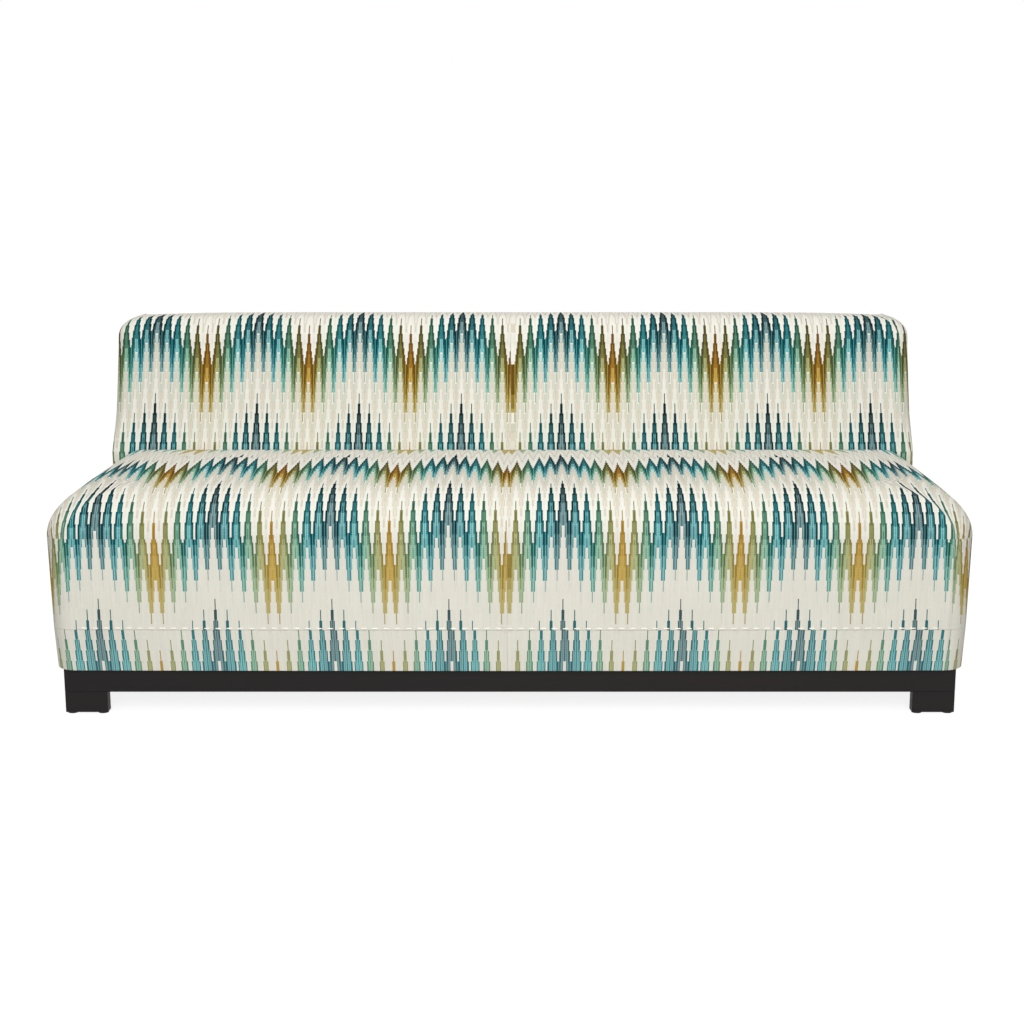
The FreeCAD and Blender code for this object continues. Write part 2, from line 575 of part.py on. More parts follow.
ties = []
tie_room = number(f"{SPRING_RAIL_FRONT} - {INNER_FRONT}")
for i in range(1, int(tie_room / size("tie_spacing")) + 1):
    ties.append(rod(f"tie_{i}", "dims.tie_wire / 2", f"2 * ({INNER_SIDE} - dims.clearance)",
                    (f"-{INNER_SIDE} + dims.clearance", f"{INNER_FRONT} + {i} * dims.tie_spacing",
                     "dims.frame_height + dims.clip_thickness - dims.tie_wire / 2"), AXIS_X))
keep(group("spring_tie_wires", ties))

SPRING_TOP = "(dims.frame_height + dims.clip_thickness + dims.spring_wire)"
FOAM_FOOT = f"({SPRING_TOP} + dims.burlap_thickness + 2 * dims.clearance)"
keep(board("seat_burlap",
           (f"2 * {FRAME_SIDE}", f"{SPRING_RAIL_FRONT} + dims.rail_board - {FRAME_FRONT}",
            "dims.burlap_thickness"),
           (f"-{FRAME_SIDE}", FRAME_FRONT, f"{SPRING_TOP} + dims.clearance")))
keep(board("dust_cover",
           (f"2 * ({BASE_SIDE} - dims.base_board - dims.clearance)",
            f"{BASE_INSIDE} - 2 * dims.clearance", "dims.dust_cover_thickness"),
           (f"-{BASE_SIDE} + dims.base_board + dims.clearance",
            f"{BASE_FRONT} + dims.base_board + dims.clearance",
            "dims.base_height - dims.dust_cover_thickness - dims.clearance")))

# Soft forms: stacked outlines with rounded corners and bowed edges, each a distance
# inside the cover, so that cover, wadding and foam all come from the same form


def edge_between(start, end, bulge):
    """a straight edge, or an arc that stands out from it by the bulge"""
    if bulge.Length == 0:
        return Part.LineSegment(start, end).toShape()
    return Part.Arc(start, (start + end) / 2 + bulge, end).toShape()


def outline(z, half_width, front, rear, front_radius, rear_radius, front_bow, side_bow):
    """one outline of a soft form, counter-clockwise from the left front corner"""
    point = FreeCAD.Vector
    side = half_width - side_bow
    near = front + front_bow
    cut = 1 - math.sqrt(0.5)
    parts = [edge_between(point(-side + front_radius, near, z),
                          point(side - front_radius, near, z), point(0, -front_bow, 0))]
    parts.append(Part.Arc(point(side - front_radius, near, z),
                          point(side - cut * front_radius, near + cut * front_radius, z),
                          point(side, near + front_radius, z)).toShape())
    parts.append(edge_between(point(side, near + front_radius, z),
                              point(side, rear - rear_radius, z), point(side_bow, 0, 0)))
    parts.append(Part.Arc(point(side, rear - rear_radius, z),
                          point(side - cut * rear_radius, rear - cut * rear_radius, z),
                          point(side - rear_radius, rear, z)).toShape())
    parts.append(edge_between(point(side - rear_radius, rear, z),
                              point(-side + rear_radius, rear, z), point(0, 0, 0)))
    parts.append(Part.Arc(point(-side + rear_radius, rear, z),
                          point(-side + cut * rear_radius, rear - cut * rear_radius, z),
                          point(-side, rear - rear_radius, z)).toShape())
    parts.append(edge_between(point(-side, rear - rear_radius, z),
                              point(-side, near + front_radius, z), point(-side_bow, 0, 0)))
    parts.append(Part.Arc(point(-side, near + front_radius, z),
                          point(-side + cut * front_radius, near + cut * front_radius, z),
                          point(-side + front_radius, near, z)).toShape())
    return Part.Wire(parts)


def stacked(outlines):
    """a closed solid through outlines at rising heights"""
    return Part.makeLoft(outlines, True, True)


W = size("overall_width") / 2
SEAM_HALF = W - size("side_swell")
FRONT_Y = number(SEAT_FRONT)
seat_depth = size("overall_depth") - size("back_depth")
JOIN_Y = FRONT_Y + seat_depth
COVER = size("cover_thickness")
WADDING_OUT = COVER + size("clearance")
WADDING_IN = WADDING_OUT + size("wadding_thickness")
FOAM_OUT = WADDING_IN + size("clearance")
# Where outlines are taken: round a rolled edge in degrees, then as shares of the way from
# the roll to the middle of the seat, and of the way up the face of the back
ROLL_ANGLES = (0, 18, 36, 54, 70, 82)
CROWN_STEPS = (0.0, 0.35, 0.7)
FACE_STEPS = (0.35, 0.7)
# The top of the back: shares of its rise, and of its half width and its depth that an
# outline has come in by then
TOP_STEPS = ((0.5, 0.11, 0.16), (1.0, 0.55, 0.4))
# A corner grows rounder by this share of the distance its outline has come in
CORNER_GROWTH = 0.25
# How far a cutting form reaches past the face it opens
PAST = 1


def corner(radius, depth):
    """a corner radius at a distance inside the cover"""
    return max(radius - depth, COVER)


def seat_rear_inset(z):
    """the seat slopes down to its join with the back above the join's height"""
    above = (z - size("seat_rear_height")) / (size("seat_crest_height")
                                              - size("seat_rear_height"))
    return max(above, 0) * size("front_roll_depth") / 2


def seat_form(depth, low):
    """the seat from a height upward, a distance inside its cover"""
    crest = size("seat_crest_height")
    roll = size("front_roll_height")
    rear = JOIN_Y - size("clearance") - depth
    rows = []
    seam, base = size("seam_height"), size("base_height")
    draw, swell = size("border_draw_in"), size("side_swell")
    if low < seam:
        pull = draw * (seam - low) / (seam - base)
        rows.append((low, pull + swell + depth, pull + depth, 0))
        rows.append((seam, swell + depth, depth, 0))
    else:
        rows.append((low, swell + depth, depth, 0))
    for degrees in ROLL_ANGLES:
        turn = math.radians(degrees)
        over = crest - roll + roll * math.sin(turn)
        rows.append((over - depth * math.sin(turn),
                     size("side_roll_width") * (1 - math.cos(turn)) + depth * math.cos(turn),
                     size("front_roll_depth") * (1 - math.cos(turn)) + depth * math.cos(turn),
                     seat_rear_inset(over)))
    half_run = (seat_depth - size("front_roll_depth")) / 2
    for step in CROWN_STEPS:
        over = crest + size("seat_crown") * (1 - (1 - step) ** 2)
        rows.append((over - depth, size("side_roll_width") + step * half_run / 2,
                     size("front_roll_depth") + step * half_run,
                     seat_rear_inset(crest) + step * (half_run - seat_rear_inset(crest))))
    outlines = []
    for z, side, front, back in rows:
        near, far = FRONT_Y + front, rear - back
        radius = (corner(size("front_corner_radius"), depth)
                  + CORNER_GROWTH * (front - depth))
        outlines.append(outline(z, W - side, near, far, min(radius, (far - near) / 3),
                                corner(size("join_corner_radius"), depth),
                                size("front_bow"), size("side_bow")))
    return stacked(outlines)


def rear_y(z):
    """the leaning rear of the back at a height"""
    return number(rear_line(str(z), "0"))


def roll_in(rise, radius):
    """how far a rounded edge has come in, a height above where its rounding starts"""
    rise = min(max(rise, 0), radius)
    return radius - math.sqrt(radius ** 2 - rise ** 2)


def back_form(depth, low):
    """the back from a height upward, a distance inside its cover"""
    kink, crown = size("back_kink_height"), size("back_crown")
    top = size("overall_height") - crown
    half = W - size("back_side_inset")
    lean = math.tan(math.radians(size("back_lean")))
    face_depth = depth / math.cos(math.radians(size("back_lean")))
    seam, base = size("seam_height"), size("base_height")
    roll_start = top - size("back_top_roll")
    side_start = top - size("back_side_roll")
    rows = [(low, half - depth, JOIN_Y + depth, rear_y(low) - depth, 0)]
    if low < seam:
        pull = size("border_draw_in") * (seam - low) / (seam - base)
        rows = [(low, half - depth - pull, JOIN_Y + depth, rear_y(low) - depth, 0),
                (seam, half - depth, JOIN_Y + depth, rear_y(seam) - depth, 0)]
    rows.append((kink, half - depth, JOIN_Y + depth, rear_y(kink) - depth, 0))
    for share in FACE_STEPS:
        z = kink + share * (roll_start - kink)
        rows.append((z, half - depth, JOIN_Y + (z - kink) * lean + face_depth,
                     rear_y(z) - depth, size("back_bow")))
    for degrees in ROLL_ANGLES + (90,):
        turn = math.radians(degrees)
        over = roll_start + size("back_top_roll") * math.sin(turn)
        z = over - depth * math.sin(turn)
        face = (JOIN_Y + (roll_start - kink) * lean + face_depth * math.cos(turn)
                + size("back_top_roll") * (1 - math.cos(turn)))
        side = roll_in(over - side_start, size("back_side_roll")) + depth * math.cos(turn)
        tail = roll_in(over - top + size("back_rear_roll"), size("back_rear_roll"))
        rows.append((z, half - max(side, depth * math.cos(turn)), face,
                     rear_y(over) - depth - tail, size("back_bow") / 2))
    _, shoulder, top_front, top_rear, top_bow = rows[-1]
    for rise, across, along in TOP_STEPS:
        come_in = along * (top_rear - top_front)
        rows.append((top + rise * crown - depth, shoulder * (1 - across),
                     top_front + come_in, top_rear - come_in, top_bow * (1 - along)))
    outlines = []
    for z, side, front, rear, bow in rows:
        radius = "back_corner_radius" if z > kink else "join_corner_radius"
        room = (rear - front - bow) / 3
        outlines.append(outline(z, side, front, rear, min(corner(size(radius), depth), room),
                                min(corner(size("rear_corner_radius"), depth), room), bow,
                                size("back_side_bow")))
    return stacked(outlines)


def border_form(depth, low, high):
    """the band round the foot of the sofa between two heights"""
    seam, base = size("seam_height"), size("base_height")
    levels = []
    for z in (low, high):
        pull = size("border_draw_in") * (seam - z) / (seam - base) + depth
        radius = (corner(size("front_corner_radius"), depth)
                  + CORNER_GROWTH * (pull - depth))
        levels.append(outline(z, SEAM_HALF - pull, FRONT_Y + pull, rear_y(z) - depth, radius,
                              corner(size("rear_corner_radius"), depth),
                              size("front_bow"), size("side_bow")))
    return stacked(levels)


FRAME_REACH = size("overall_width")


def block(low, high, front=-FRAME_REACH, rear=FRAME_REACH, half=FRAME_REACH):
    """a plain box used to cut soft forms, reaching past the sofa unless told otherwise"""
    return Part.makeBox(2 * half, rear - front, high - low,
                        FreeCAD.Vector(-half, front, low))


def behind(inset):
    """everything behind a leaning plane, a distance in front of the rear of the back"""
    low, high = 0, size("overall_height") + seat_depth
    line = [(rear_y(low) - inset, low), (rear_y(high) - inset, high), (FRAME_REACH, high),
            (FRAME_REACH, low)]
    corners = [FreeCAD.Vector(-FRAME_REACH, y, z) for y, z in line]
    face = Part.Face(Part.makePolygon(corners + corners[:1]))
    return face.extrude(FreeCAD.Vector(2 * FRAME_REACH, 0, 0))


gap = size("clearance")
seam_top = size("seam_height") + gap / 2
soft_foot = size("base_height") + gap
foam_foot = number(FOAM_FOOT)
frame_space = block(0, foam_foot, number(FRAME_FRONT) - gap, FRAME_REACH,
                    number(FRAME_SIDE) + gap).cut(behind(COVER + gap))


def keep_soft(label, shape):
    """lists a soft piece"""
    keep(solid_feature(label, shape.removeSplitter()))


# Seat: cover, wadding, soft topper and firm core
seat_space = seat_form(COVER, seam_top - PAST)
keep_soft("seat_cover", seat_form(0, seam_top).cut(seat_space).cut(frame_space))
wadding_room = border_form(WADDING_OUT, soft_foot, size("seam_height")).fuse(
    block(size("seam_height"), size("overall_height")))
wadding_space = seat_form(WADDING_IN, soft_foot - PAST)
seat_wadding = seat_form(WADDING_OUT, soft_foot).common(wadding_room)
keep_soft("seat_wadding", seat_wadding.cut(wadding_space).cut(frame_space))
seat_foam = seat_form(FOAM_OUT, foam_foot)
core_top = foam_foot + size("core_thickness")
keep_soft("seat_foam_core", seat_foam.common(block(0, core_top)))
keep_soft("seat_foam_topper", seat_foam.common(block(core_top + gap, size("overall_height"))))

# Band below the seam, all the way round
band_top = size("seam_height") - gap / 2
keep_soft("border_band", border_form(0, soft_foot, band_top).cut(
    border_form(COVER, soft_foot - PAST, band_top + PAST)))

# Back: inside cover, wadding, foam and the cover of the rear
cover_split = size("cover_return")
back_shell = back_form(0, seam_top).cut(back_form(COVER, seam_top - PAST)).cut(frame_space)
keep_soft("inside_back_cover", back_shell.cut(behind(cover_split)))
keep_soft("outside_back_cover", back_shell.common(behind(cover_split - gap)))
back_wadding = back_form(WADDING_OUT, soft_foot).common(wadding_room)
back_wadding = back_wadding.cut(back_form(WADDING_IN, soft_foot - PAST)).cut(frame_space)
keep_soft("back_wadding", back_wadding.cut(behind(cover_split + COVER)))
foam_rear = number(SHEET_FRONT) + gap
keep_soft("back_foam", back_form(FOAM_OUT, foam_foot).cut(behind(foam_rear)))

# Stitches along the seam, on the front and on both sides of the seat


def bowed(place, half_chord, bow):
    """how far a slightly bowed edge stands out at a place along it"""
    return bow * (1 - (place / half_chord) ** 2)


def stitch_places(half_run):
    """evenly spaced places each side of the middle of a run"""
    count = int(half_run / size("stitch_pitch"))
    return [i * size("stitch_pitch") for i in range(-count, count + 1)]


stitches = []
long_side, stands_out = size("stitch_length"), size("stitch_thickness")
stitch_low = size("seam_height") + size("stitch_rise")
front_half = SEAM_HALF - size("side_bow") - size("front_corner_radius")
for x in stitch_places(front_half - long_side):
    face = FRONT_Y + size("front_bow") - bowed(x, front_half, size("front_bow"))
    stitches.append(Part.makeBox(long_side, stands_out, size("stitch_height"), FreeCAD.Vector(
        x - long_side / 2, face - stands_out - gap / 2, stitch_low)))
side_start = FRONT_Y + size("front_bow") + size("front_corner_radius")
side_end = JOIN_Y - gap - size("join_corner_radius")
side_half = (side_end - side_start) / 2
for along in stitch_places(side_half - long_side):
    face = SEAM_HALF - size("side_bow") + bowed(along, side_half, size("side_bow")) + gap / 2
    y = (side_start + side_end) / 2 + along - long_side / 2
    for x in (face, -face - stands_out):
        stitches.append(Part.makeBox(stands_out, long_side, size("stitch_height"),
                                     FreeCAD.Vector(x, y, stitch_low)))
keep(solid_feature("seam_stitches", Part.makeCompound(stitches)))

doc.recompute()
for item in doc.Objects:
    if "Invalid" in item.State or "Error" in item.State:
        raise RuntimeError(f"{item.Label} failed: {item.State}")
for node in nodes:
    if node.Shape.isNull() or not node.Shape.isValid() or not node.Shape.Solids:
        raise RuntimeError(f"{node.Label} has no valid solid")

os.makedirs("parts", exist_ok=True)
for node in nodes:
    node.Shape.exportStep(f"parts/{node.Label}.step")
    print(f"{node.Label}: {len(node.Shape.Solids)} solids, {node.Shape.Volume / 1e6:.3f} litres")
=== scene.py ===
"""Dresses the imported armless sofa: flame stitch cloth over a wide seat and a leaning back,
on a low base of stained wood. Metres throughout; the sofa faces -Y and stands on z = 0.
"""
import json
import math

import bmesh
import bpy
import numpy as np
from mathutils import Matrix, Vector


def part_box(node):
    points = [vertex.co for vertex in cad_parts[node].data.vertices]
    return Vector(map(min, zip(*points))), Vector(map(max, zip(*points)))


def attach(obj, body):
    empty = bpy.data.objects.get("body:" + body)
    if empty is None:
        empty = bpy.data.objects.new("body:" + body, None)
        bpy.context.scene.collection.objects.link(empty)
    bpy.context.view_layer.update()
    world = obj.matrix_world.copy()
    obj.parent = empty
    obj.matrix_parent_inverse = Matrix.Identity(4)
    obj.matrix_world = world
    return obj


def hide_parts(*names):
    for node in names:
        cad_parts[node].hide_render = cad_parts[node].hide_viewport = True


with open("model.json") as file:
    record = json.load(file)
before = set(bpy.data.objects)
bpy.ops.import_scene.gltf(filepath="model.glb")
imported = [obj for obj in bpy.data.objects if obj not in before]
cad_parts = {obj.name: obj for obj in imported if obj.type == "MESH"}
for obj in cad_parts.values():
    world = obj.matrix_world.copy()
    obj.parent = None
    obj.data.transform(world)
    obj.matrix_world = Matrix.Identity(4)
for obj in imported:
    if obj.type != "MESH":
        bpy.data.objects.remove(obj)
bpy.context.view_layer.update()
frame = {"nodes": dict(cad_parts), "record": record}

# ---- Wood base ----
# Four rails and four bracket feet of close grained wood, stained espresso and rubbed to a
# satin finish. The feet are L shaped, flush with the rails, and every edge is eased by hand.


def linear(code):
    """a colour written as six hex digits, in the linear values that a shader takes"""
    parts = np.array([int(code[i:i + 2], 16) for i in (0, 2, 4)]) / 255
    return tuple(np.where(parts <= 0.04045, parts / 12.92, ((parts + 0.055) / 1.055) ** 2.4)) + (1,)


class Wiring:
    """Places shader nodes in one tree. A value is a number, a colour or a socket."""

    def __init__(self, tree):
        self.tree = tree

    def node(self, kind, **settings):
        made = self.tree.nodes.new(kind)
        for name, value in settings.items():
            setattr(made, name, value)
        return made

    def feed(self, socket, value):
        if isinstance(value, bpy.types.NodeSocket):
            self.tree.links.new(value, socket)
        else:
            socket.default_value = value

    def math(self, operation, *values):
        made = self.node("ShaderNodeMath", operation=operation)
        for socket, value in zip(made.inputs, values):
            self.feed(socket, value)
        return made.outputs[0]

    def mix(self, share, first, second, blend="MIX"):
        made = self.node("ShaderNodeMix", data_type="RGBA", blend_type=blend)
        for index, value in ((0, share), (6, first), (7, second)):
            self.feed(made.inputs[index], value)
        return made.outputs[2]

    def ramp(self, value, stops, step=False):
        """stops are (place, number or colour), held until the next one where step is true"""
        made = self.node("ShaderNodeValToRGB")
        ramp = made.color_ramp
        ramp.interpolation = "CONSTANT" if step else "LINEAR"
        while len(ramp.elements) < len(stops):
            ramp.elements.new(1)
        for element, (place, colour) in zip(ramp.elements, stops):
            element.position = place
            element.color = colour if isinstance(colour, tuple) else (colour,) * 3 + (1,)
        self.feed(made.inputs[0], value)
        return made.outputs[0]

    def noise(self, vector, scale, detail=2, stretch=(1, 1, 1)):
        mapping = self.node("ShaderNodeMapping")
        mapping.inputs["Scale"].default_value = stretch
        self.feed(mapping.inputs["Vector"], vector)
        made = self.node("ShaderNodeTexNoise")
        self.feed(made.inputs["Vector"], mapping.outputs[0])
        made.inputs["Scale"].default_value = scale
        made.inputs["Detail"].default_value = detail
        return made.outputs["Fac"]


def new_group(name, takes, gives):
    """a shader node group with named inputs and outputs, and the wiring inside it"""
    tree = bpy.data.node_groups.new(name, "ShaderNodeTree")
    for direction, sockets in (("INPUT", takes), ("OUTPUT", gives)):
        for label, kind in sockets:
            tree.interface.new_socket(label, in_out=direction, socket_type="NodeSocket" + kind)
    wiring = Wiring(tree)
    given = wiring.node("NodeGroupInput").outputs
    result = wiring.node("NodeGroupOutput").inputs
    return tree, wiring, given, result


def new_material(name, **finish):
    """a material whose Principled BSDF has these constants on its own sockets"""
    material = bpy.data.materials.new(name)
    material.use_nodes = True
    wiring = Wiring(material.node_tree)
    surface = material.node_tree.nodes["Principled BSDF"].inputs
    for label, value in finish.items():
        surface[label.replace("_", " ")].default_value = value
    return material, wiring, surface


def raise_surface(wiring, surface, height, distance):
    """feeds a height into the surface's normal"""
    bump = wiring.node("ShaderNodeBump")
    bump.inputs["Distance"].default_value = distance
    wiring.feed(bump.inputs["Height"], height)
    wiring.feed(surface["Normal"], bump.outputs[0])


# Grain: long soft streaks with short fine pores, both drawn out along the board
wood_grain, wiring, given, result = new_group(
    "wood_grain", [("Vector", "Vector")], [("Grain", "Float"), ("Pores", "Float")])
streaks = wiring.noise(given["Vector"], 22, 4, (0.06, 1, 1))
fibres = wiring.noise(given["Vector"], 260, 2, (0.02, 1, 1))
wiring.feed(result["Grain"], wiring.math("ADD", wiring.math("MULTIPLY", streaks, 0.7),
                                         wiring.math("MULTIPLY", fibres, 0.3)))
pores = wiring.noise(given["Vector"], 700, 1, (0.03, 1, 1))
wiring.feed(result["Pores"], wiring.ramp(pores, [(0.60, 0.0), (0.72, 1.0)]))


def wood(name, dark, light, turn, roughness, pore_depth, **finish):
    """wood with its grain along the board, turned about the upright axis"""
    material, wiring, surface = new_material(name, **finish)
    place = wiring.node("ShaderNodeTexCoord")
    mapping = wiring.node("ShaderNodeMapping")
    mapping.inputs["Rotation"].default_value = turn
    wiring.feed(mapping.inputs["Vector"], place.outputs["Object"])
    grain = wiring.node("ShaderNodeGroup", node_tree=wood_grain)
    wiring.feed(grain.inputs["Vector"], mapping.outputs[0])
    tone = wiring.ramp(grain.outputs["Grain"], [(0.32, linear(dark)), (0.68, linear(light))])
    wiring.feed(surface["Base Color"], wiring.mix(
        wiring.math("MULTIPLY", grain.outputs["Pores"], 0.35), tone, linear(dark)))
    wiring.feed(surface["Roughness"], wiring.math(
        "ADD", wiring.math("MULTIPLY", grain.outputs["Grain"], 0.12), roughness))
    raise_surface(wiring, surface, wiring.math("SUBTRACT", grain.outputs["Grain"],
                                               grain.outputs["Pores"]), pore_depth)
    return material


ALONG_X, ALONG_Y = (0, 0, 0), (0, 0, math.pi / 2)        # turns that lay the grain along a board
STAIN_DARK, STAIN_RED = "121111", "1d1717"
stained = {turn: wood(name, STAIN_DARK, STAIN_RED, turn, roughness=0.45, pore_depth=0.00008,
                      Specular_IOR_Level=0.18)
           for name, turn in (("espresso_wood", ALONG_X), ("espresso_wood_sides", ALONG_Y))}


def show(name, mesh, material, nodes=()):
    """makes a mesh a piece of the sofa that stands for CAD nodes"""
    piece = bpy.data.objects.new(name, mesh)
    bpy.context.scene.collection.objects.link(piece)
    mesh.materials.append(material)
    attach(piece, "root")
    if nodes:
        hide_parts(*nodes)
    return piece


EASE = 0.0015                             # how far the edges of a board are rounded


def outward_faces(mesh):
    """turns every face of a closed mesh outward and shades it smooth"""
    body = bmesh.new()
    body.from_mesh(mesh)
    bmesh.ops.recalc_face_normals(body, faces=body.faces)
    body.to_mesh(mesh)
    body.free()
    mesh.polygons.foreach_set("use_smooth", [True] * len(mesh.polygons))


def eased_board(node, corners, turn):
    """a flat outline carried up between the node's lowest and highest point, edges eased"""
    low, high = (corner[2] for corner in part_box(node))
    count = len(corners)
    points = [(x, y, z) for z in (low, high) for x, y in corners]
    sides = [(i, (i + 1) % count, (i + 1) % count + count, i + count) for i in range(count)]
    mesh = bpy.data.meshes.new(node + "_eased")
    mesh.from_pydata(points, [], sides + [tuple(range(count))[::-1],
                                          tuple(range(count, 2 * count))])
    outward_faces(mesh)
    piece = show(node + "_eased", mesh, stained[turn], [node])
    bevel = piece.modifiers.new("eased", "BEVEL")
    bevel.width, bevel.segments, bevel.limit_method = EASE, 3, "ANGLE"
    weighted = piece.modifiers.new("flat_faces", "WEIGHTED_NORMAL")
    weighted.keep_sharp = True


for node in ("front_base_rail", "rear_base_rail", "left_base_rail", "right_base_rail"):
    (x0, y0, _), (x1, y1, _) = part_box(node)
    eased_board(node, [(x0, y0), (x1, y0), (x1, y1), (x0, y1)],
                ALONG_X if x1 - x0 > y1 - y0 else ALONG_Y)

BOARD = 0.026                             # thickness of the base boards and feet
for node in ("front_right_foot", "rear_right_foot", "front_left_foot", "rear_left_foot"):
    (x0, y0, _), (x1, y1, _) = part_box(node)
    outer, inner = (x1, x0) if x1 > 0 else (x0, x1)
    edge, far = (y0, y1) if y0 < 0 else (y1, y0)
    across, along = math.copysign(BOARD, outer), math.copysign(BOARD, far - edge)
    eased_board(node, [(outer, edge), (outer, far), (outer - across, far),
                       (outer - across, edge + along), (inner, edge + along),
                       (inner, edge)], ALONG_X)

# ---- Inner frame, springs, webbing and fixings ----
# Planed hardwood rails and posts, glued and screwed, with steel springs clipped to them,
# elastic webbing across the back and burlap over both. The cover hides nearly all of it.


def speckled(name, dark, light, scale, depth, **finish):
    """a material with a fine uneven tone and a matching relief"""
    material, wiring, surface = new_material(name, **finish)
    place = wiring.node("ShaderNodeTexCoord").outputs["Object"]
    fleck = wiring.noise(place, scale, 3)
    wiring.feed(surface["Base Color"],
                wiring.ramp(fleck, [(0.35, linear(dark)), (0.65, linear(light))]))
    raise_surface(wiring, surface, fleck, depth)
    return material


def woven(name, dark, light, thread, **finish):
    """plain weave of threads this far apart, over and under in both directions"""
    material, wiring, surface = new_material(name, **finish)
    place = wiring.node("ShaderNodeSeparateXYZ")
    wiring.feed(place.inputs[0], wiring.node("ShaderNodeTexCoord").outputs["Object"])
    turns = [wiring.math("SINE", wiring.math("MULTIPLY", place.outputs[axis],
                                             math.pi / thread)) for axis in range(3)]
    weave = wiring.math("MULTIPLY", wiring.math("ADD", turns[0], turns[2]),
                        wiring.math("ADD", turns[1], 0.3))
    wiring.feed(surface["Base Color"],
                wiring.ramp(weave, [(0.0, linear(dark)), (0.6, linear(light))]))
    raise_surface(wiring, surface, weave, thread / 4)
    return material


inner_finishes = {
    "frame_hardwood": wood("planed_hardwood", "a98458", "cfae7e", ALONG_X, 0.55, 0.0002),
    "foam": speckled("open_cell_foam", "d8cba0", "ece2bd", 900, 0.0006, Roughness=0.9),
    "wadding": speckled("fibre_wadding", "e4e4df", "f7f7f3", 160, 0.001, Roughness=0.95),
    "burlap": woven("burlap_weave", "6f5836", "b2905c", 0.0016, Roughness=0.95),
    "webbing": woven("elastic_webbing", "3b2f24", "6b5946", 0.0022, Roughness=0.8),
    "dust_sheet": speckled("black_dust_sheet", "101010", "202020", 500, 0.0002, Roughness=0.9),
    "panel_board": speckled("grey_board", "7d715f", "a0937c", 300, 0.0002, Roughness=0.85),
    "spring_steel": speckled("oiled_spring_steel", "4a4a4c", "6a6a6d", 120, 0.00005,
                             Metallic=1.0, Roughness=0.4),
    "zinc_steel": speckled("zinc_plated_steel", "a9acae", "c6c9cb", 90, 0.00003,
                           Metallic=1.0, Roughness=0.35),
    "glide_plastic": speckled("nylon_glide", "1b1918", "2a2725", 200, 0.00005, Roughness=0.5),
    "dark_stained_wood": stained[ALONG_X],
}
for part in frame["record"]["subparts"]:
    finish = inner_finishes.get(part["material_slot"])
    if finish:
        piece = frame["nodes"][part["node"]]
        piece.data.materials.clear()
        piece.data.materials.append(finish)

# ---- Flame stitch cloth ----
# A heavy cotton weave in the traditional flame pattern. Narrow upright columns of stitches
# step up and down in saw teeth, and every ten teeth make one large peak and valley.
# Dark slate stands at the peak and gold in the valley, with teals and greens between.
REPEAT = 0.2508            # one large peak and valley across the cloth
COLUMNS = 120              # columns of stitches in it
LEVEL = 0.024              # how far a column is shifted against its neighbour
ROUND = 39.5               # levels before the rows of motifs repeat up the cloth
TOOTH = 12                 # columns in a saw tooth, from one peak to the next
MOTIFS = ((0.0, 5.45), (13.0, 5.1), (27.4, 5.02))     # where each row starts, and its length
PICK = 0.0042              # distance between the dark picks in the pale part of a motif


def levels(*stops):
    """stops written in levels, as shares of the round"""
    return [(place / ROUND, value) for place, value in stops]


flame_stitch, wiring, given, result = new_group(
    "flame_stitch", [("Cloth", "Vector")],
    [("Color", "Color"), ("Height", "Float"), ("Roughness", "Float")])
split = wiring.node("ShaderNodeSeparateXYZ")
wiring.feed(split.inputs[0], given["Cloth"])
across, up = split.outputs["X"], split.outputs["Y"]
calc = wiring.math

# Which column this is, which tooth it belongs to, and how far it stands from the tooth's peak
place = calc("MULTIPLY", across, COLUMNS / REPEAT)
column = calc("FLOOR", calc("ADD", place, 0.5))
from_peak = calc("PINGPONG", column, COLUMNS / 2)
tooth = calc("FLOOR", calc("DIVIDE", calc("ADD", from_peak, 0.25), TOOTH))
step = calc("SUBTRACT", from_peak, calc("MULTIPLY", tooth, TOOTH))
beyond = calc("GREATER_THAN", step, TOOTH / 2 + 0.5)
distance = calc("ADD", calc("MULTIPLY", beyond, calc(
    "SUBTRACT", TOOTH, calc("MULTIPLY", step, 2))), step)
drop = calc("ADD", calc("ADD", tooth, beyond), distance)
at_peak = calc("LESS_THAN", distance, 0.5)
valley = calc("COMPARE", step, TOOTH / 2, 0.4)
past_valley = calc("COMPARE", step, TOOTH / 2 + 1, 0.4)

# How far along the sequence of yarns the column has come, counted down from its own top. The
# column at a peak changes yarn one level late, and those deep in a tooth of the last row early
fallen = calc("SUBTRACT", calc("DIVIDE", up, -LEVEL), drop)
spot = calc("FLOORED_MODULO", fallen, ROUND)
hold = wiring.ramp(calc("DIVIDE", spot, ROUND), levels(
    (0, 0.0), (3.4, 1.0), (9.5, 0.0), (16, 1.0), (22, 0.0), (30.9, 1.0), (35.4, 0.0)), step=True)
spot = calc("SUBTRACT", spot, calc("MULTIPLY", hold, at_peak))
early = calc("MULTIPLY", calc("MAXIMUM", calc("SUBTRACT", distance, 2.5), 0),
             calc("ADD", 0.1, calc("MULTIPLY", from_peak, 0.25 / (COLUMNS / 2))))
fill = wiring.ramp(calc("DIVIDE", spot, ROUND), levels((0, 0.0), (24.9, 1.0), (28.4, 0.0)),
                   step=True)
spot = calc("ADD", spot, calc("MULTIPLY", fill, early))
share = calc("DIVIDE", spot, ROUND)

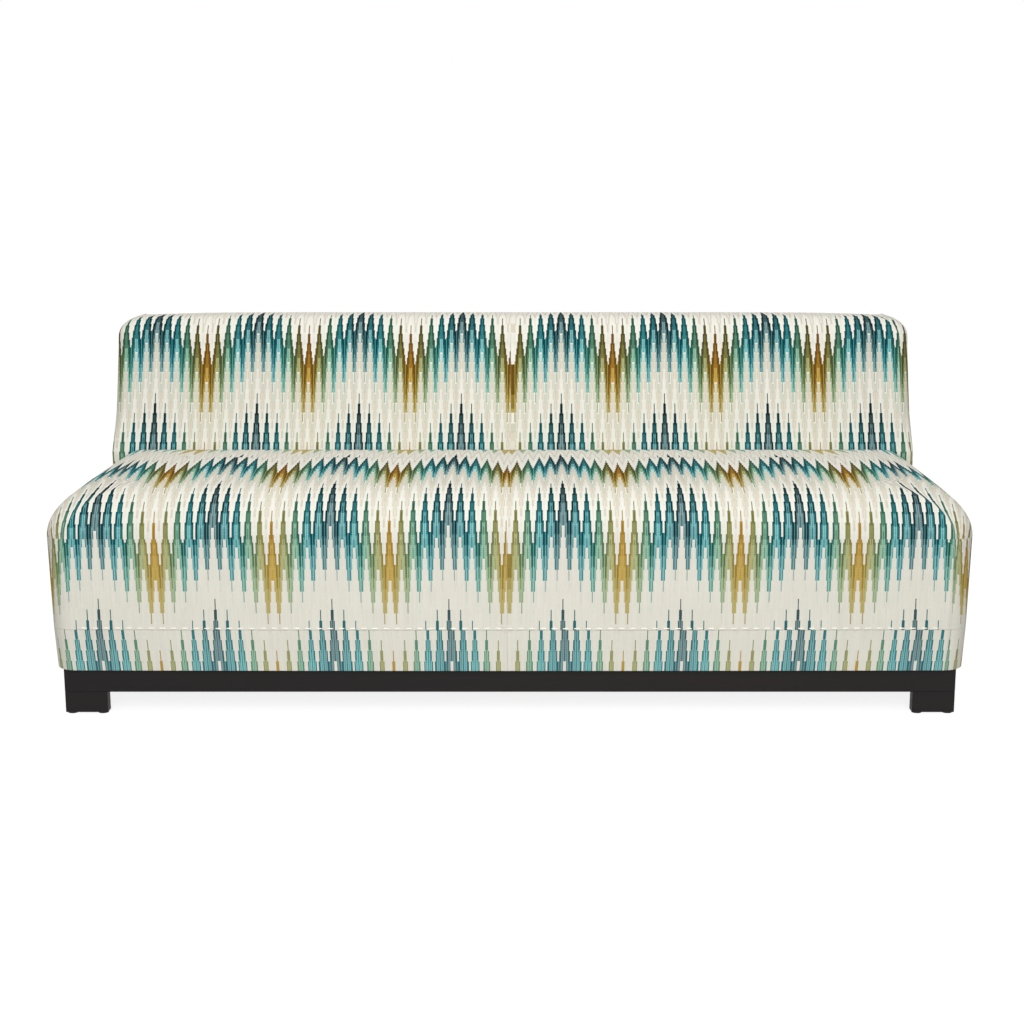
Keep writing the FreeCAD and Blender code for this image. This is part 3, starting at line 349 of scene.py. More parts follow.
# Whether it is inside a motif. Beside a valley the last level is missing, and in the valley
# itself it is a thin faint tail
start = wiring.ramp(share, levels(*[(first, first / ROUND) for first, _ in MOTIFS]), step=True)
length = wiring.ramp(share, levels(*[(first, run / ROUND) for first, run in MOTIFS]), step=True)
depth = calc("MULTIPLY", calc("SUBTRACT", share, start), ROUND)
left = calc("SUBTRACT", calc("MULTIPLY", length, ROUND), depth)
inside = calc("GREATER_THAN", left, 0)
last_level = calc("MULTIPLY", inside, calc("LESS_THAN", left, 1.0))
inside = calc("SUBTRACT", inside, calc("MULTIPLY", last_level, past_valley))
tail = calc("MULTIPLY", last_level, valley)

# How dark the yarn is: dark at the top of a tooth, pale in its heart, dark again below. The
# columns of a tooth differ by a bias, as far as it reaches, and the gold valleys are paler
darkness = wiring.ramp(share, levels(
    (0, 1.0), (1.2, 0.9), (2.1, 0.52), (3.1, 0.08), (4.4, 0.3), (5.45, 0.3),
    (13.0, 0.72), (14.0, 0.26), (15.2, 0.1), (17.2, 0.15), (18.1, 0.3),
    (27.4, 1.0), (29.6, 0.7), (30.9, 0.1), (32.42, 0.3)), step=True)
bias = wiring.ramp(calc("DIVIDE", distance, 6.5), [
    (0, 1.0), (0.5 / 6.5, 0.3), (1.5 / 6.5, 0.7), (2.5 / 6.5, 0.25), (3.5 / 6.5, 0.85),
    (5.5 / 6.5, 0.2)], step=True)
reach = wiring.ramp(share, levels(
    (0, 0.0), (1.2, 0.5), (2.1, 0.65), (5.45, 0.0), (13.9, 0.75), (18.1, 0.0), (30.9, 0.45),
    (32.42, 0.0)), step=True)
amber = calc("MULTIPLY", calc("SMOOTH_MIN", calc("MAXIMUM", calc("DIVIDE", calc(
    "SUBTRACT", from_peak, 30), 22), 0), 1, 0.1), wiring.ramp(share, levels(
        (0, 0.45), (20, 0.0)), step=True))
darkness = calc("ADD", darkness, calc("MULTIPLY", reach, calc("SUBTRACT", bias, 0.5)))
darkness = calc("SUBTRACT", darkness, amber)
darkness = calc("SUBTRACT", darkness, calc("MULTIPLY", valley, 0.55))
darkness = calc("MAXIMUM", calc("MINIMUM", darkness, 1), 0)

# The yarns of each tooth, from the dark peak to the gold valley
TEETH = (0, 0.2, 0.4, 0.6, 0.8, 1)
hue = calc("DIVIDE", from_peak, COLUMNS / 2)
yarns = [wiring.ramp(hue, list(zip(TEETH, map(linear, codes)))) for codes in (
    ("8ea7a8", "92c6c6", "98d4d2", "a9cfb6", "bcbf8c", "ceae5a"),
    ("4d6c70", "3a8288", "429399", "639a7e", "8c8d50", "b4882f"),
    ("18272b", "103a3e", "0e5056", "2c5b48", "554d20", "774e16"))]
motif = wiring.mix(calc("MINIMUM", calc("MULTIPLY", darkness, 2), 1), yarns[0], yarns[1])
motif = wiring.mix(calc("MAXIMUM", calc("SUBTRACT", calc("MULTIPLY", darkness, 2), 1), 0),
                   motif, yarns[2])
picks = calc("MULTIPLY", calc("GREATER_THAN", calc("SINE", calc(
    "MULTIPLY", up, 2 * math.pi / PICK)), 0.1), calc("SUBTRACT", 1, darkness))
motif = wiring.mix(calc("MULTIPLY", picks, 0.24), motif, yarns[1])

# The pale ground between the rows of motifs
ground = wiring.ramp(share, levels(
    (0, linear("ece9dc")), (18.1, linear("efece0")), (22.2, linear("ddd5c2")),
    (23.2, linear("efece0")), (24.4, linear("f3f1e6")),
    (32.42, linear("d9dfd0")), (33.3, linear("ddd4c2")), (34.3, linear("e4ddcd")),
    (35.2, linear("d7d2c1")), (36.0, linear("eae6d9")), (37.0, linear("edece1"))), step=True)
tint = wiring.ramp(share, levels((0, 0.0), (5.45, 0.1), (6.4, 0.0), (32.42, 0.22),
                                 (33.4, 0.0)), step=True)
ground = wiring.mix(tint, ground, yarns[0])
ground = wiring.mix(calc("MULTIPLY", tail, calc("ADD", 0.55, calc("MULTIPLY", hue, 0.4))),
                    ground, yarns[1])
colour = wiring.mix(calc("SUBTRACT", inside, tail), ground, motif)

# Uneven yarn: each column has its own tone, and each stitch varies a little. Ribs stand along
# the columns, picks cross them, and the whole cloth is slightly uneven from being pulled by hand
own = wiring.node("ShaderNodeTexWhiteNoise", noise_dimensions="2D")
joined = wiring.node("ShaderNodeCombineXYZ")
wiring.feed(joined.inputs["X"], column)
wiring.feed(joined.inputs["Y"], calc("FLOOR", calc("DIVIDE", up, LEVEL * 2)))
wiring.feed(own.inputs["Vector"], joined.outputs[0])
slub = wiring.noise(given["Cloth"], 420, 2, (1, 0.35, 1))
tone = calc("ADD", calc("MULTIPLY", own.outputs["Value"], 0.10),
            calc("MULTIPLY", slub, 0.16))
wiring.feed(result["Color"], wiring.mix(1.0, colour, wiring.ramp(
    tone, [(0.0, 0.86), (0.26, 1.0)]), "MULTIPLY"))
rib = calc("ABSOLUTE", calc("SINE", calc("MULTIPLY", place, math.pi)))
weft = calc("SINE", calc("MULTIPLY", up, 2 * math.pi / (PICK / 2)))
pulled = wiring.noise(given["Cloth"], 8, 1)
wiring.feed(result["Height"], calc("ADD", calc("ADD", calc("MULTIPLY", rib, 0.5),
                                               calc("MULTIPLY", weft, 0.25)),
                                   calc("ADD", calc("MULTIPLY", slub, 0.5),
                                        calc("MULTIPLY", pulled, 9))))
wiring.feed(result["Roughness"], calc("ADD", 0.78, calc("MULTIPLY", slub, 0.15)))

cloth, wiring, surface = new_material("flame_stitch_cloth", Specular_IOR_Level=0.04)
pattern = wiring.node("ShaderNodeGroup", node_tree=flame_stitch)
wiring.feed(pattern.inputs["Cloth"], wiring.node("ShaderNodeUVMap", uv_map="cloth").outputs[0])
wiring.feed(surface["Base Color"], pattern.outputs["Color"])
wiring.feed(surface["Roughness"], pattern.outputs["Roughness"])
raise_surface(wiring, surface, pattern.outputs["Height"], 0.0005)

# ---- Seat ----
# One wide tight cushion: foam and wadding under cloth that is pulled over the top, the big
# front roll and both sides. Two widths of cloth are joined just left of the middle, and a
# dart runs back from each front corner along the side, below the roll.
HALF_WIDTH, FRONT, JOIN = 0.996, -0.440, 0.1717
SEAM_HEIGHT, SWELL = 0.193, 0.004         # the sides swell out from the seam up to the roll
CREST, ROLL_DEEP, ROLL_HIGH, SIDE_ROLL = 0.494, 0.126, 0.102, 0.120
CROWN = 0.012                             # how far the top rises between its edges
EDGE = CREST - ROLL_HIGH
FRONT_BOW, SIDE_BOW = 0.004, 0.003
FRONT_CORNER, REAR_CORNER = 0.05, 0.008   # radii of the upright corners
TUCK, TUCK_HIGH = 0.063, 0.011            # the top is tucked under the back pad, near its crest
CLOTH_JOIN = -0.0061                      # where the two widths of cloth meet
TIP_BEHIND_CREST = 0.0056                 # from the roll's highest line back to a row's tips
# How much wider the cloth of the top is pulled, from where on, and over what run that grows
SPREAD, SPREAD_FROM, SPREAD_RUN = 0.018, -0.31, 0.3
DART = 0.12                               # how far back a dart reaches from the front corner
# On each width of cloth, where its first peak stands and how close together its columns are
SEAT_PEAKS = ((-0.1295, 1.0044), (0.1139, 0.998))


def ellipse_run(across, high, steps=400):
    """arc length round a quarter ellipse from its top outward, against the angle from its foot"""
    angle = np.linspace(np.pi / 2, 0, steps)
    x, z = -across * np.cos(angle), high * np.sin(angle)
    run = np.concatenate([[0], np.cumsum(np.hypot(np.diff(x), np.diff(z)))])
    return lambda wanted: np.interp(wanted, angle[::-1], run[::-1])


def eased_step(value):
    """0 below 0, 1 above 1, smooth between"""
    value = np.clip(value, 0, 1)
    return value * value * (3 - 2 * value)


# Shares from the cloth's join to the end of the front edge, close together at the join
ALONG_HALF = np.concatenate([[0.0014, 0.004, 0.009], np.linspace(0.009, 1, 85)[1:]])
CORNER_STEPS, SIDE_STEPS, REAR_CORNER_STEPS = 10, 64, 4


def loops(height, half, front, rear, front_radius, rear_radius, front_bow, side_bow):
    """Rounded rectangles, one for each height, as arrays of x, y, z and of three facts: the
    share of the front corner's turn that lies before a point, its distance round the loop from
    the middle of the front, and its distance back from the front corner.

    An edge is a straight line that stands out by a bow times one minus the square of the share
    of its half length. A corner is a quarter circle.
    """
    z, half, front, rear, turn_in, rear_in, bow, side_out = [
        np.atleast_1d(np.asarray(value, float))[:, None] + np.zeros((len(height), 1))
        for value in (height, half, front, rear, front_radius, rear_radius, front_bow, side_bow)]
    side, near = half - side_out, front + bow
    end = side - turn_in
    right_x = CLOTH_JOIN + ALONG_HALF * (end - CLOTH_JOIN)
    left_x = CLOTH_JOIN - ALONG_HALF * (end + CLOTH_JOIN)
    right_y = near - bow * (1 - (right_x / end) ** 2)
    left_y = near - bow * (1 - (left_x / end) ** 2)

    def half_loop(sign, x, y):
        turn = np.linspace(0, np.pi / 2, CORNER_STEPS + 1)[1:]
        corner_x = side - turn_in + turn_in * np.sin(turn)
        corner_y = near + turn_in - turn_in * np.cos(turn)
        back = np.linspace(0, 1, SIDE_STEPS + 1)[1:]
        run = np.maximum(rear - rear_in - near - turn_in, 0)
        side_x = side + side_out * (1 - (2 * back - 1) ** 2)
        side_y = near + turn_in + back * run
        rear_turn = np.linspace(0, np.pi / 2, REAR_CORNER_STEPS + 1)[1:]
        rear_x = side - rear_in + rear_in * np.cos(rear_turn)
        rear_y = rear - rear_in + rear_in * np.sin(rear_turn)
        flat = np.zeros_like(x)
        xs = np.concatenate([x, sign * corner_x, sign * side_x, sign * rear_x], axis=1)
        ys = np.concatenate([y, corner_y, side_y, rear_y], axis=1)
        share = np.concatenate([flat, turn / (np.pi / 2) + 0 * corner_x,
                                1 + 0 * side_x, 1 + 0 * rear_x], axis=1)
        gone = np.hypot(np.diff(xs, axis=1, prepend=xs[:, :1]),
                        np.diff(ys, axis=1, prepend=ys[:, :1]))
        round_ = np.abs(xs[:, :1]) + np.cumsum(gone, axis=1)
        round_[:, :x.shape[1]] = np.abs(x)
        behind = np.concatenate([flat, 0 * corner_x, back * run, run + 0 * rear_x], axis=1)
        return xs, ys, share, sign * round_, behind

    left = half_loop(-1, left_x, left_y)
    right = half_loop(1, right_x, right_y)
    join = (CLOTH_JOIN + 0 * z, near - bow * (1 - (CLOTH_JOIN / end) ** 2), 0 * z,
            CLOTH_JOIN + 0 * z, 0 * z)
    x, y, share, round_, behind = [np.concatenate([a[:, ::-1], b, c], axis=1)
                                   for a, b, c in zip(left, join, right)]
    return x, y, z + 0 * x, share, round_, behind


def cloth_mesh(name, points, cloth_places, peaks, closed=False, upper=None, upper_rows=None):
    """A mesh through a grid of points, with its cloth places as a UV map.

    points is rows by columns by three; cloth_places gives the distance across and up the cloth
    for each. upper holds other cloth places for the faces from the row upper_rows on, where the
    cloth above a dart runs another way. Each width of cloth is placed by its own first peak.
    Faces that close a loop at the rear span both widths, and so are laid out as one.
    """
    rows, columns = points.shape[:2]
    index = np.arange(rows * columns).reshape(rows, columns)
    if closed:
        index = np.concatenate([index, index[:, :1]], axis=1)
    quads = np.stack([index[:-1, :-1], index[:-1, 1:], index[1:, 1:], index[1:, :-1]], axis=-1)
    quads = quads.reshape(-1, 4)
    mesh = bpy.data.meshes.new(name)
    mesh.from_pydata(points.reshape(-1, 3).tolist(), [], quads.tolist())
    flat = cloth_places.reshape(-1, 2)
    corners = flat[quads]
    if upper is not None:
        row_of_face = np.repeat(np.arange(rows - 1), index.shape[1] - 1)
        corners = np.where((row_of_face >= upper_rows)[:, None, None],
                           upper.reshape(-1, 2)[quads], corners)
    middle = corners[..., 0].mean(axis=1)
    rear = np.ptp(corners[..., 0], axis=1) > 0.5
    corners[..., 0] = np.where(rear[:, None] & (corners[..., 0] < 0), -corners[..., 0],
                               corners[..., 0])
    is_left = (middle < CLOTH_JOIN) & ~rear
    for flag, (peak, stretch) in zip((is_left, ~is_left), peaks):
        corners[flag, :, 0] = (corners[flag, :, 0] - peak) * stretch
    layer = mesh.uv_layers.new(name="cloth")
    layer.data.foreach_set("uv", corners.reshape(-1).astype(np.float32))
    body = bmesh.new()
    body.from_mesh(mesh)
    bmesh.ops.remove_doubles(body, verts=body.verts, dist=1e-5)
    body.to_mesh(mesh)
    body.free()
    mesh.polygons.foreach_set("use_smooth", [True] * len(mesh.polygons))
    return mesh


def thicken(piece, thickness=0.002):
    """gives the cloth its thickness, inward"""
    solid = piece.modifiers.new("thickness", "SOLIDIFY")
    solid.thickness, solid.offset = thickness, -1


front_run = ellipse_run(ROLL_DEEP, ROLL_HIGH)
side_run = ellipse_run(SIDE_ROLL, ROLL_HIGH)


def seat_up(y):
    """distance up the cloth at a place on the top or the front roll"""
    angle = np.arccos(np.clip(1 - (y - FRONT) / ROLL_DEEP, 0, 1))
    return np.where(y < FRONT + ROLL_DEEP, -front_run(angle), y - FRONT - ROLL_DEEP) \
        - TIP_BEHIND_CREST


def layers(*facts):
    """arrays spread to the same shape and laid side by side as the last axis of one"""
    return np.stack(np.broadcast_arrays(*facts), axis=-1)


# Heights: the upright wall, the roll as a quarter ellipse, and the crowned top as a parabola
wall = SEAM_HEIGHT + 0.0003 + np.array([0, 0.0008, 0.002, 0.004, 0.008, 0.015])
wall = np.concatenate([wall, np.linspace(0.216, EDGE, 20)])
turn = np.radians(np.linspace(0, 90, 21)[1:])
crown = np.linspace(0, 1, 30)[1:]
rise = CREST - ROLL_HIGH + ROLL_HIGH * np.sin(turn)
half_run = (JOIN - FRONT - ROLL_DEEP) / 2
z = np.concatenate([wall, rise, CREST + CROWN * (1 - (1 - crown) ** 2)])
side_in = np.concatenate([SWELL * (EDGE - wall) / (EDGE - SEAM_HEIGHT),
                          SIDE_ROLL * (1 - np.cos(turn)), SIDE_ROLL + crown * half_run / 2])
front_in = np.concatenate([0 * wall, ROLL_DEEP * (1 - np.cos(turn)),
                           ROLL_DEEP + crown * half_run])
rear_in = np.concatenate([0 * wall, np.clip((rise - CREST + TUCK_HIGH) / TUCK_HIGH, 0, 1) * TUCK,
                          TUCK + crown * (half_run - TUCK)])
radius = np.minimum(FRONT_CORNER + front_in / 4, (JOIN - rear_in - FRONT - front_in) / 3)
x, y, zz, share, round_, behind = loops(z, HALF_WIDTH - side_in, FRONT + front_in, JOIN - rear_in,
                                        radius, REAR_CORNER, FRONT_BOW, SIDE_BOW)
first_roll = len(wall) - 1
on_crown = np.arange(len(z))[:, None] >= first_roll + len(turn)

# Cloth places below the dart: a belt runs round the corner, eased toward the cloth of the top
row_up = np.concatenate([-front_run(0.0) - (EDGE - wall), -front_run(turn),
                         crown * half_run])[:, None] - TIP_BEHIND_CREST
corner_end = -1 - REAR_CORNER_STEPS - SIDE_STEPS
pull_up = seat_up(FRONT + FRONT_BOW + FRONT_CORNER) + front_run(0.0) + TIP_BEHIND_CREST
pull_out = HALF_WIDTH - SIDE_ROLL + side_run(0.0) - np.abs(round_[first_roll, corner_end])
fade = (np.clip((zz - SEAM_HEIGHT) / (EDGE - SEAM_HEIGHT), 0, 1) * share
        * (1 - eased_step(behind / DART)))
lower = layers(round_ + np.sign(round_) * pull_out * fade, row_up + pull_up * fade)

# Cloth places above it: the top runs over the side roll, and its cloth is pulled outward
side_angle = np.concatenate([0 * wall, turn, 0 * crown + np.pi / 2])[:, None]
over_side = HALF_WIDTH - SIDE_ROLL + side_run(side_angle)
pulled_out = 1 - SPREAD * np.clip((y - SPREAD_FROM) / SPREAD_RUN, 0, 1)
top_round = np.where(on_crown, x * pulled_out, np.sign(x) * np.where(
    share > 0, (1 - share) * np.abs(round_) + share * over_side, np.abs(x)))
top_up = np.where((share > 0) & ~on_crown, (1 - share) * row_up + share * seat_up(y), seat_up(y))
top = layers(top_round, top_up)

# The rear edge closes each loop: the same columns as the front, carried back to the join
EDGE_STEPS = CORNER_STEPS + SIDE_STEPS + REAR_CORNER_STEPS


def across_rear(x, y_of_row, z_of_row, facts):
    """the columns of the front again, at the rear and from right to left, and their cloth"""
    rear_x = x[:, EDGE_STEPS:x.shape[1] - EDGE_STEPS]
    rear_y = y_of_row[:, None] + 0 * rear_x
    points = layers(rear_x, rear_y, z_of_row[:, None])
    return points[:, ::-1][:, 1:-1], layers(*facts(rear_x, rear_y))[:, ::-1][:, 1:-1]


rear_points, rear_cloth = across_rear(x, JOIN - rear_in, z, lambda x, y: (x, seat_up(y)))
points = np.concatenate([layers(x, y, zz), rear_points], axis=1)
lower = np.concatenate([lower, rear_cloth], axis=1)
top = np.concatenate([top, rear_cloth], axis=1)
seat_mesh = cloth_mesh("seat_upholstery", points, lower, SEAT_PEAKS, closed=True, upper=top,
                       upper_rows=first_roll)
seat = show("seat_upholstery", seat_mesh, cloth, ["seat_cover"])
thicken(seat)

# ---- Border band ----
# A straight strip of the same cloth, cut to carry the pattern on, sewn to the seat along a
# top stitched seam and pulled down over the frame to the wood base.
BASE_HEIGHT, DRAW_IN, REAR_LEAN = 0.101, 0.004, math.tan(math.radians(6.5))
SEWN_LOWER, CUT_OFF_STRAIGHT = 0.005, 0.075       # how the strip's pattern meets the seat's
BACK_TOP, REAR_ROLL = 0.795, 0.015        # the shoulder, from which the top is crowned
REAR, BAND_CORNER = 0.440, 0.018          # rear of the back at its top, radius at the rear
BAND_PEAKS = ((-0.1252, 0.9965), (0.1185, 0.990))
band_z = np.concatenate([[0.1014, 0.1025, 0.105], np.linspace(0.110, 0.186, 12),
                         [0.1895, 0.1915, 0.1926]])


def rear_of(height):
    """the leaning rear of the sofa: its y falls off evenly below the rounded top edge"""
    return REAR - (BACK_TOP - REAR_ROLL - height) * REAR_LEAN


drawn = DRAW_IN * (SEAM_HEIGHT - band_z) / (SEAM_HEIGHT - BASE_HEIGHT)
x, y, zz, _, round_, _ = loops(
    band_z, HALF_WIDTH - SWELL - drawn, FRONT + drawn, rear_of(band_z), FRONT_CORNER + drawn / 4,
    BAND_CORNER, FRONT_BOW, SIDE_BOW)
below = SEAM_HEIGHT - zz
band_up = row_up[0, 0] - SEWN_LOWER - below
places = layers(round_ / (1 - CUT_OFF_STRAIGHT * below), band_up)
limit = np.abs(round_[:, -1:])
rear_points, rear_cloth = across_rear(x, rear_of(band_z), band_z, lambda x, y: (
    np.sign(x) * (limit + HALF_WIDTH - np.abs(x)), band_up[:, :1]))
band_mesh = cloth_mesh("border_band_cloth",
                       np.concatenate([layers(x, y, zz), rear_points], axis=1),
                       np.concatenate([places, rear_cloth], axis=1), BAND_PEAKS, closed=True)
band = show("border_band_cloth", band_mesh, cloth, ["border_band"])
thicken(band)

# ---- Top stitches ----
# A row of long cream stitches just above the seam, on the front and both sides. Thick cotton
# thread, sewn by hand through the cover and the turned edge behind it.
thread, wiring, surface = new_material("cream_thread", Roughness=0.7, Sheen_Weight=0.1)
place = wiring.node("ShaderNodeTexCoord").outputs["Object"]
twist = wiring.noise(place, 900, 2, (1, 1, 3))
wiring.feed(surface["Base Color"], wiring.ramp(
    twist, [(0.3, linear("eceadd")), (0.7, linear("fdfcf4"))]))
raise_surface(wiring, surface, twist, 0.0002)

STITCH, STITCH_PITCH, STITCH_THICK, STITCH_HEIGHT = 0.014, 0.024, 0.0030, 0.1967


def stitch_row(half_length):
    """middles of the stitches, evenly spaced each side of the middle of a run"""
    count = int((half_length - STITCH) / STITCH_PITCH)
    return np.arange(-count, count + 1) * STITCH_PITCH


def stitch_meshes(middles, directions, outwards):
    """Each stitch is a short thread: a ring of points carried along an arch, a parabola that
    dives in at both ends. Its thickness follows the square root of one minus the fourth power
    of the share of its half length."""
    along = np.linspace(-1, 1, 9)
    ring = np.linspace(0, 2 * np.pi, 8, endpoint=False)
    swell = np.sqrt(np.clip(1 - along ** 4, 0.02, 1)) * STITCH_THICK / 2
    arch = 0.0006 * (1 - along ** 2) - 0.0006
    out = arch[:, None] + swell[:, None] * np.cos(ring) + 0.0002
    lift = swell[:, None] * np.sin(ring)
    forward = (along * STITCH / 2)[:, None] + 0 * ring
    shape = (forward[None, :, :, None] * directions[:, None, None, :]
             + out[None, :, :, None] * outwards[:, None, None, :]
             + lift[None, :, :, None] * np.array([0, 0, 1.0]))
    return middles[:, None, None, :] + shape


front_half = HALF_WIDTH - SWELL - SIDE_BOW - FRONT_CORNER
front_x = stitch_row(front_half)
front_y = FRONT + FRONT_BOW - FRONT_BOW * (1 - (front_x / front_half) ** 2)
side_start, side_end = FRONT + FRONT_BOW + FRONT_CORNER, JOIN - REAR_CORNER
side_half = (side_end - side_start) / 2
side_y = stitch_row(side_half)
side_x = HALF_WIDTH - SWELL - SIDE_BOW + SIDE_BOW * (1 - (side_y / side_half) ** 2)
middle_y = (side_start + side_end) / 2 + side_y
middles = np.concatenate([layers(front_x, front_y, STITCH_HEIGHT),
                          layers(side_x, middle_y, STITCH_HEIGHT),
                          layers(-side_x, middle_y, STITCH_HEIGHT)])
counts = (len(front_x), len(side_y), len(side_y))
directions = np.repeat([[1.0, 0, 0], [0, 1.0, 0], [0, -1.0, 0]], counts, axis=0)
outwards = np.repeat([[0, -1.0, 0], [1.0, 0, 0], [-1.0, 0, 0]], counts, axis=0)
grid = stitch_meshes(middles, directions, outwards)
number, lengthwise, ringwise = grid.shape[:3]
index = np.arange(number * lengthwise * ringwise).reshape(number, lengthwise, ringwise)
wrapped = np.concatenate([index, index[:, :, :1]], axis=2)
quads = np.stack([wrapped[:, :-1, :-1], wrapped[:, 1:, :-1], wrapped[:, 1:, 1:],
                  wrapped[:, :-1, 1:]], axis=-1).reshape(-1, 4)
caps = np.concatenate([index[:, 0, :], index[:, -1, ::-1]])
stitch_mesh = bpy.data.meshes.new("seam_stitching")
stitch_mesh.from_pydata(grid.reshape(-1, 3).tolist(), [], quads.tolist() + caps.tolist())
outward_faces(stitch_mesh)
show("seam_stitching", stitch_mesh, thread, ["seam_stitches"])

# ---- Back ----
# A tight padded back: the cloth comes up from behind the seat, over the softly rolled top
# and round both sides, where it meets the cloth of the rear.
KINK, BACK_HALF, LEAN = 0.476, 0.991, math.radians(20)   # it leans from the kink upward
BACK_FRONT, BACK_CROWN, BACK_BOW, BACK_SIDE_BOW = 0.172, 0.008, 0.010, 0.002
TOP_ROLL, BACK_SIDE_ROLL, RETURN = 0.065, 0.042, 0.014
LOW_CORNER, HIGH_CORNER = 0.008, 0.030   # radius of the front corners, at the kink and above
ROLL_START, SIDE_START = BACK_TOP - TOP_ROLL, BACK_TOP - BACK_SIDE_ROLL
FACE_LONG = (ROLL_START - KINK) / math.cos(LEAN)
FACE_TIP = 0.1448                         # kink to the tip of the lower row of motifs
LOW_PULL, HIGH_PULL = 0.002, 0.009        # how far the cloth is pulled up, low and then higher
PULL_FROM, PULL_RUN = 0.56, 0.16          # the height from which that grows, and its run
EASED_IN = 0.35                           # share of the face over which bow and corners grow
BACK_PEAKS = ((-0.1275, 0.990), (0.1202, 0.981))


def roll_in(rise, radius):
    """how far a quarter circle has come in, a height above where it starts"""
    rise = np.clip(rise, 0, radius)
    return radius - np.sqrt(radius ** 2 - rise ** 2)


# Rows: straight up to the kink, leaning face, quarter circle at the top, and the flat top
straight = np.array([SEAM_HEIGHT + 0.0005, 0.266, 0.346, 0.406, 0.446, 0.466, KINK])
face = np.linspace(KINK, ROLL_START, 34)[1:]
turn = np.radians(np.linspace(0, 90, 19)[1:])
roll_z = ROLL_START + TOP_ROLL * np.sin(turn)
flat = np.linspace(0, 1, 13)[1:]
z = np.concatenate([straight, face, roll_z, BACK_TOP + 0 * flat])
top_rows = len(z) - len(flat) - 1
face_rise = math.tan(LEAN) * (np.concatenate([face, ROLL_START + 0 * turn]) - KINK)
front = np.concatenate([0 * straight, face_rise]) + BACK_FRONT
front[-len(turn):] += TOP_ROLL * (1 - np.cos(turn))
top_front = front[-1]
rear_top = rear_of(BACK_TOP) - REAR_ROLL - 0.0005
rear = np.minimum(rear_of(z) - RETURN, rear_top)
front = np.concatenate([front, top_front + flat * (rear_top - 0.0002 - top_front)])
# The face stands out by half its bow soon above the kink, and by a half sine wave on top
face_share = np.clip((z - KINK) / (ROLL_START - KINK), 0, 1)
bow = (BACK_BOW / 2 * eased_step(face_share / EASED_IN)
       + (BACK_BOW / 2 - 0.001) * np.sin(np.pi * face_share))
bow[-len(flat):] *= 1 - flat
half = BACK_HALF - roll_in(z - SIDE_START, BACK_SIDE_ROLL)
room = np.maximum(rear - front - bow, 0.0)
front_radius = np.minimum(LOW_CORNER + (HIGH_CORNER - LOW_CORNER)
                          * np.clip(face_share / EASED_IN, 0, 1), room * 0.6)
x, y, zz, share, round_, _ = loops(z, half, front, rear, front_radius, 0.0001, bow,
                                   BACK_SIDE_BOW)
face_up = np.concatenate([straight - KINK, (face - KINK) / math.cos(LEAN),
                          FACE_LONG + TOP_ROLL * turn,
                          FACE_LONG + TOP_ROLL * math.pi / 2 + flat * (rear_top - top_front)])
pulled_up = LOW_PULL + HIGH_PULL * eased_step((z - PULL_FROM) / PULL_RUN)
face_up = (face_up - FACE_TIP - pulled_up)[:, None]
# The top rises to its middle: flat along most of its length, falling off near both ends
gain = np.concatenate([0 * straight, 0 * face, 0.75 * eased_step((turn - 0.6) / 0.97),
                       np.where(flat < 0.5, 0.75 + 0.25 * eased_step(2 * flat),
                                1 - np.abs(2 * flat - 1) ** 4)])[:, None]
shoulder = BACK_HALF - BACK_SIDE_ROLL
zz = zz + BACK_CROWN * gain * np.clip(1 - (x / shoulder) ** 8, 0, 1)
top_up = np.where(share > 0, face_up[top_rows] + y - top_front, face_up)
back_mesh = cloth_mesh("back_upholstery", layers(x, y, zz), layers(round_, face_up), BACK_PEAKS,
                       upper=layers(x, top_up), upper_rows=top_rows)
back = show("back_upholstery", back_mesh, cloth, ["inside_back_cover"])
thicken(back)

# ---- Outside back ----
# The plain rear: one stretched panel in two widths of cloth, turned in along its edges and
# blind stitched to the cloth of the sides and the top.
rise = np.concatenate([[SEAM_HEIGHT + 0.0005], np.linspace(0.206, BACK_TOP - REAR_ROLL, 40)])
turn = np.radians(np.linspace(0, 90, 9)[1:])
z = np.concatenate([rise, BACK_TOP - REAR_ROLL + REAR_ROLL * np.sin(turn)])
rear = rear_of(z) - np.concatenate([0 * rise, REAR_ROLL * (1 - np.cos(turn))])
half = BACK_HALF - roll_in(z - SIDE_START, BACK_SIDE_ROLL)
side = (half - BACK_SIDE_BOW)[:, None]
rear = rear[:, None]
turns = np.linspace(0, np.pi / 2, 7)
middle = np.linspace(-1, 1, 121)[1:-1]
# Each row starts on one side, turns a quarter circle, crosses and turns back the same way
first_x = side - BAND_CORNER + BAND_CORNER * np.cos(turns)
first_y = rear - BAND_CORNER + BAND_CORNER * np.sin(turns)
start_y = np.minimum(rear_of(z)[:, None] - RETURN + 0.0003, first_y[:, :1] - 0.0001)
middle_x = -middle * (side - BAND_CORNER)
x = np.concatenate([side, first_x, middle_x, -first_x[:, ::-1], -side], axis=1)
y = np.concatenate([start_y, first_y, rear + 0 * middle_x, first_y[:, ::-1], start_y], axis=1)
steps = np.hypot(np.diff(x, axis=1, prepend=x[:, :1]), np.diff(y, axis=1, prepend=y[:, :1]))
runs = np.cumsum(steps, axis=1)
outside_mesh = cloth_mesh("outside_back_cloth", layers(x, y, z[:, None]),
                          layers(runs - runs[:, -1:] / 2, z[:, None] - KINK - FACE_TIP),
                          BACK_PEAKS)
outside = show("outside_back_cloth", outside_mesh, cloth,
               ["outside_back_cover"])
thicken(outside)

# ---- Dust cover ----
# A thin black sheet of spun fibre, stapled under the frame. It sags a little in the two bays
# on either side of the middle beam.
BEAM_SIDE, SAG = 0.02, 0.004
(_, y0, _), (x1, y1, z1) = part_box("dust_cover")
share = np.linspace(-1, 1, 81)
across, along = np.meshgrid(share * x1, share[::2])
bay = np.clip((np.abs(across) - BEAM_SIDE) / (x1 - BEAM_SIDE), 0, 1)
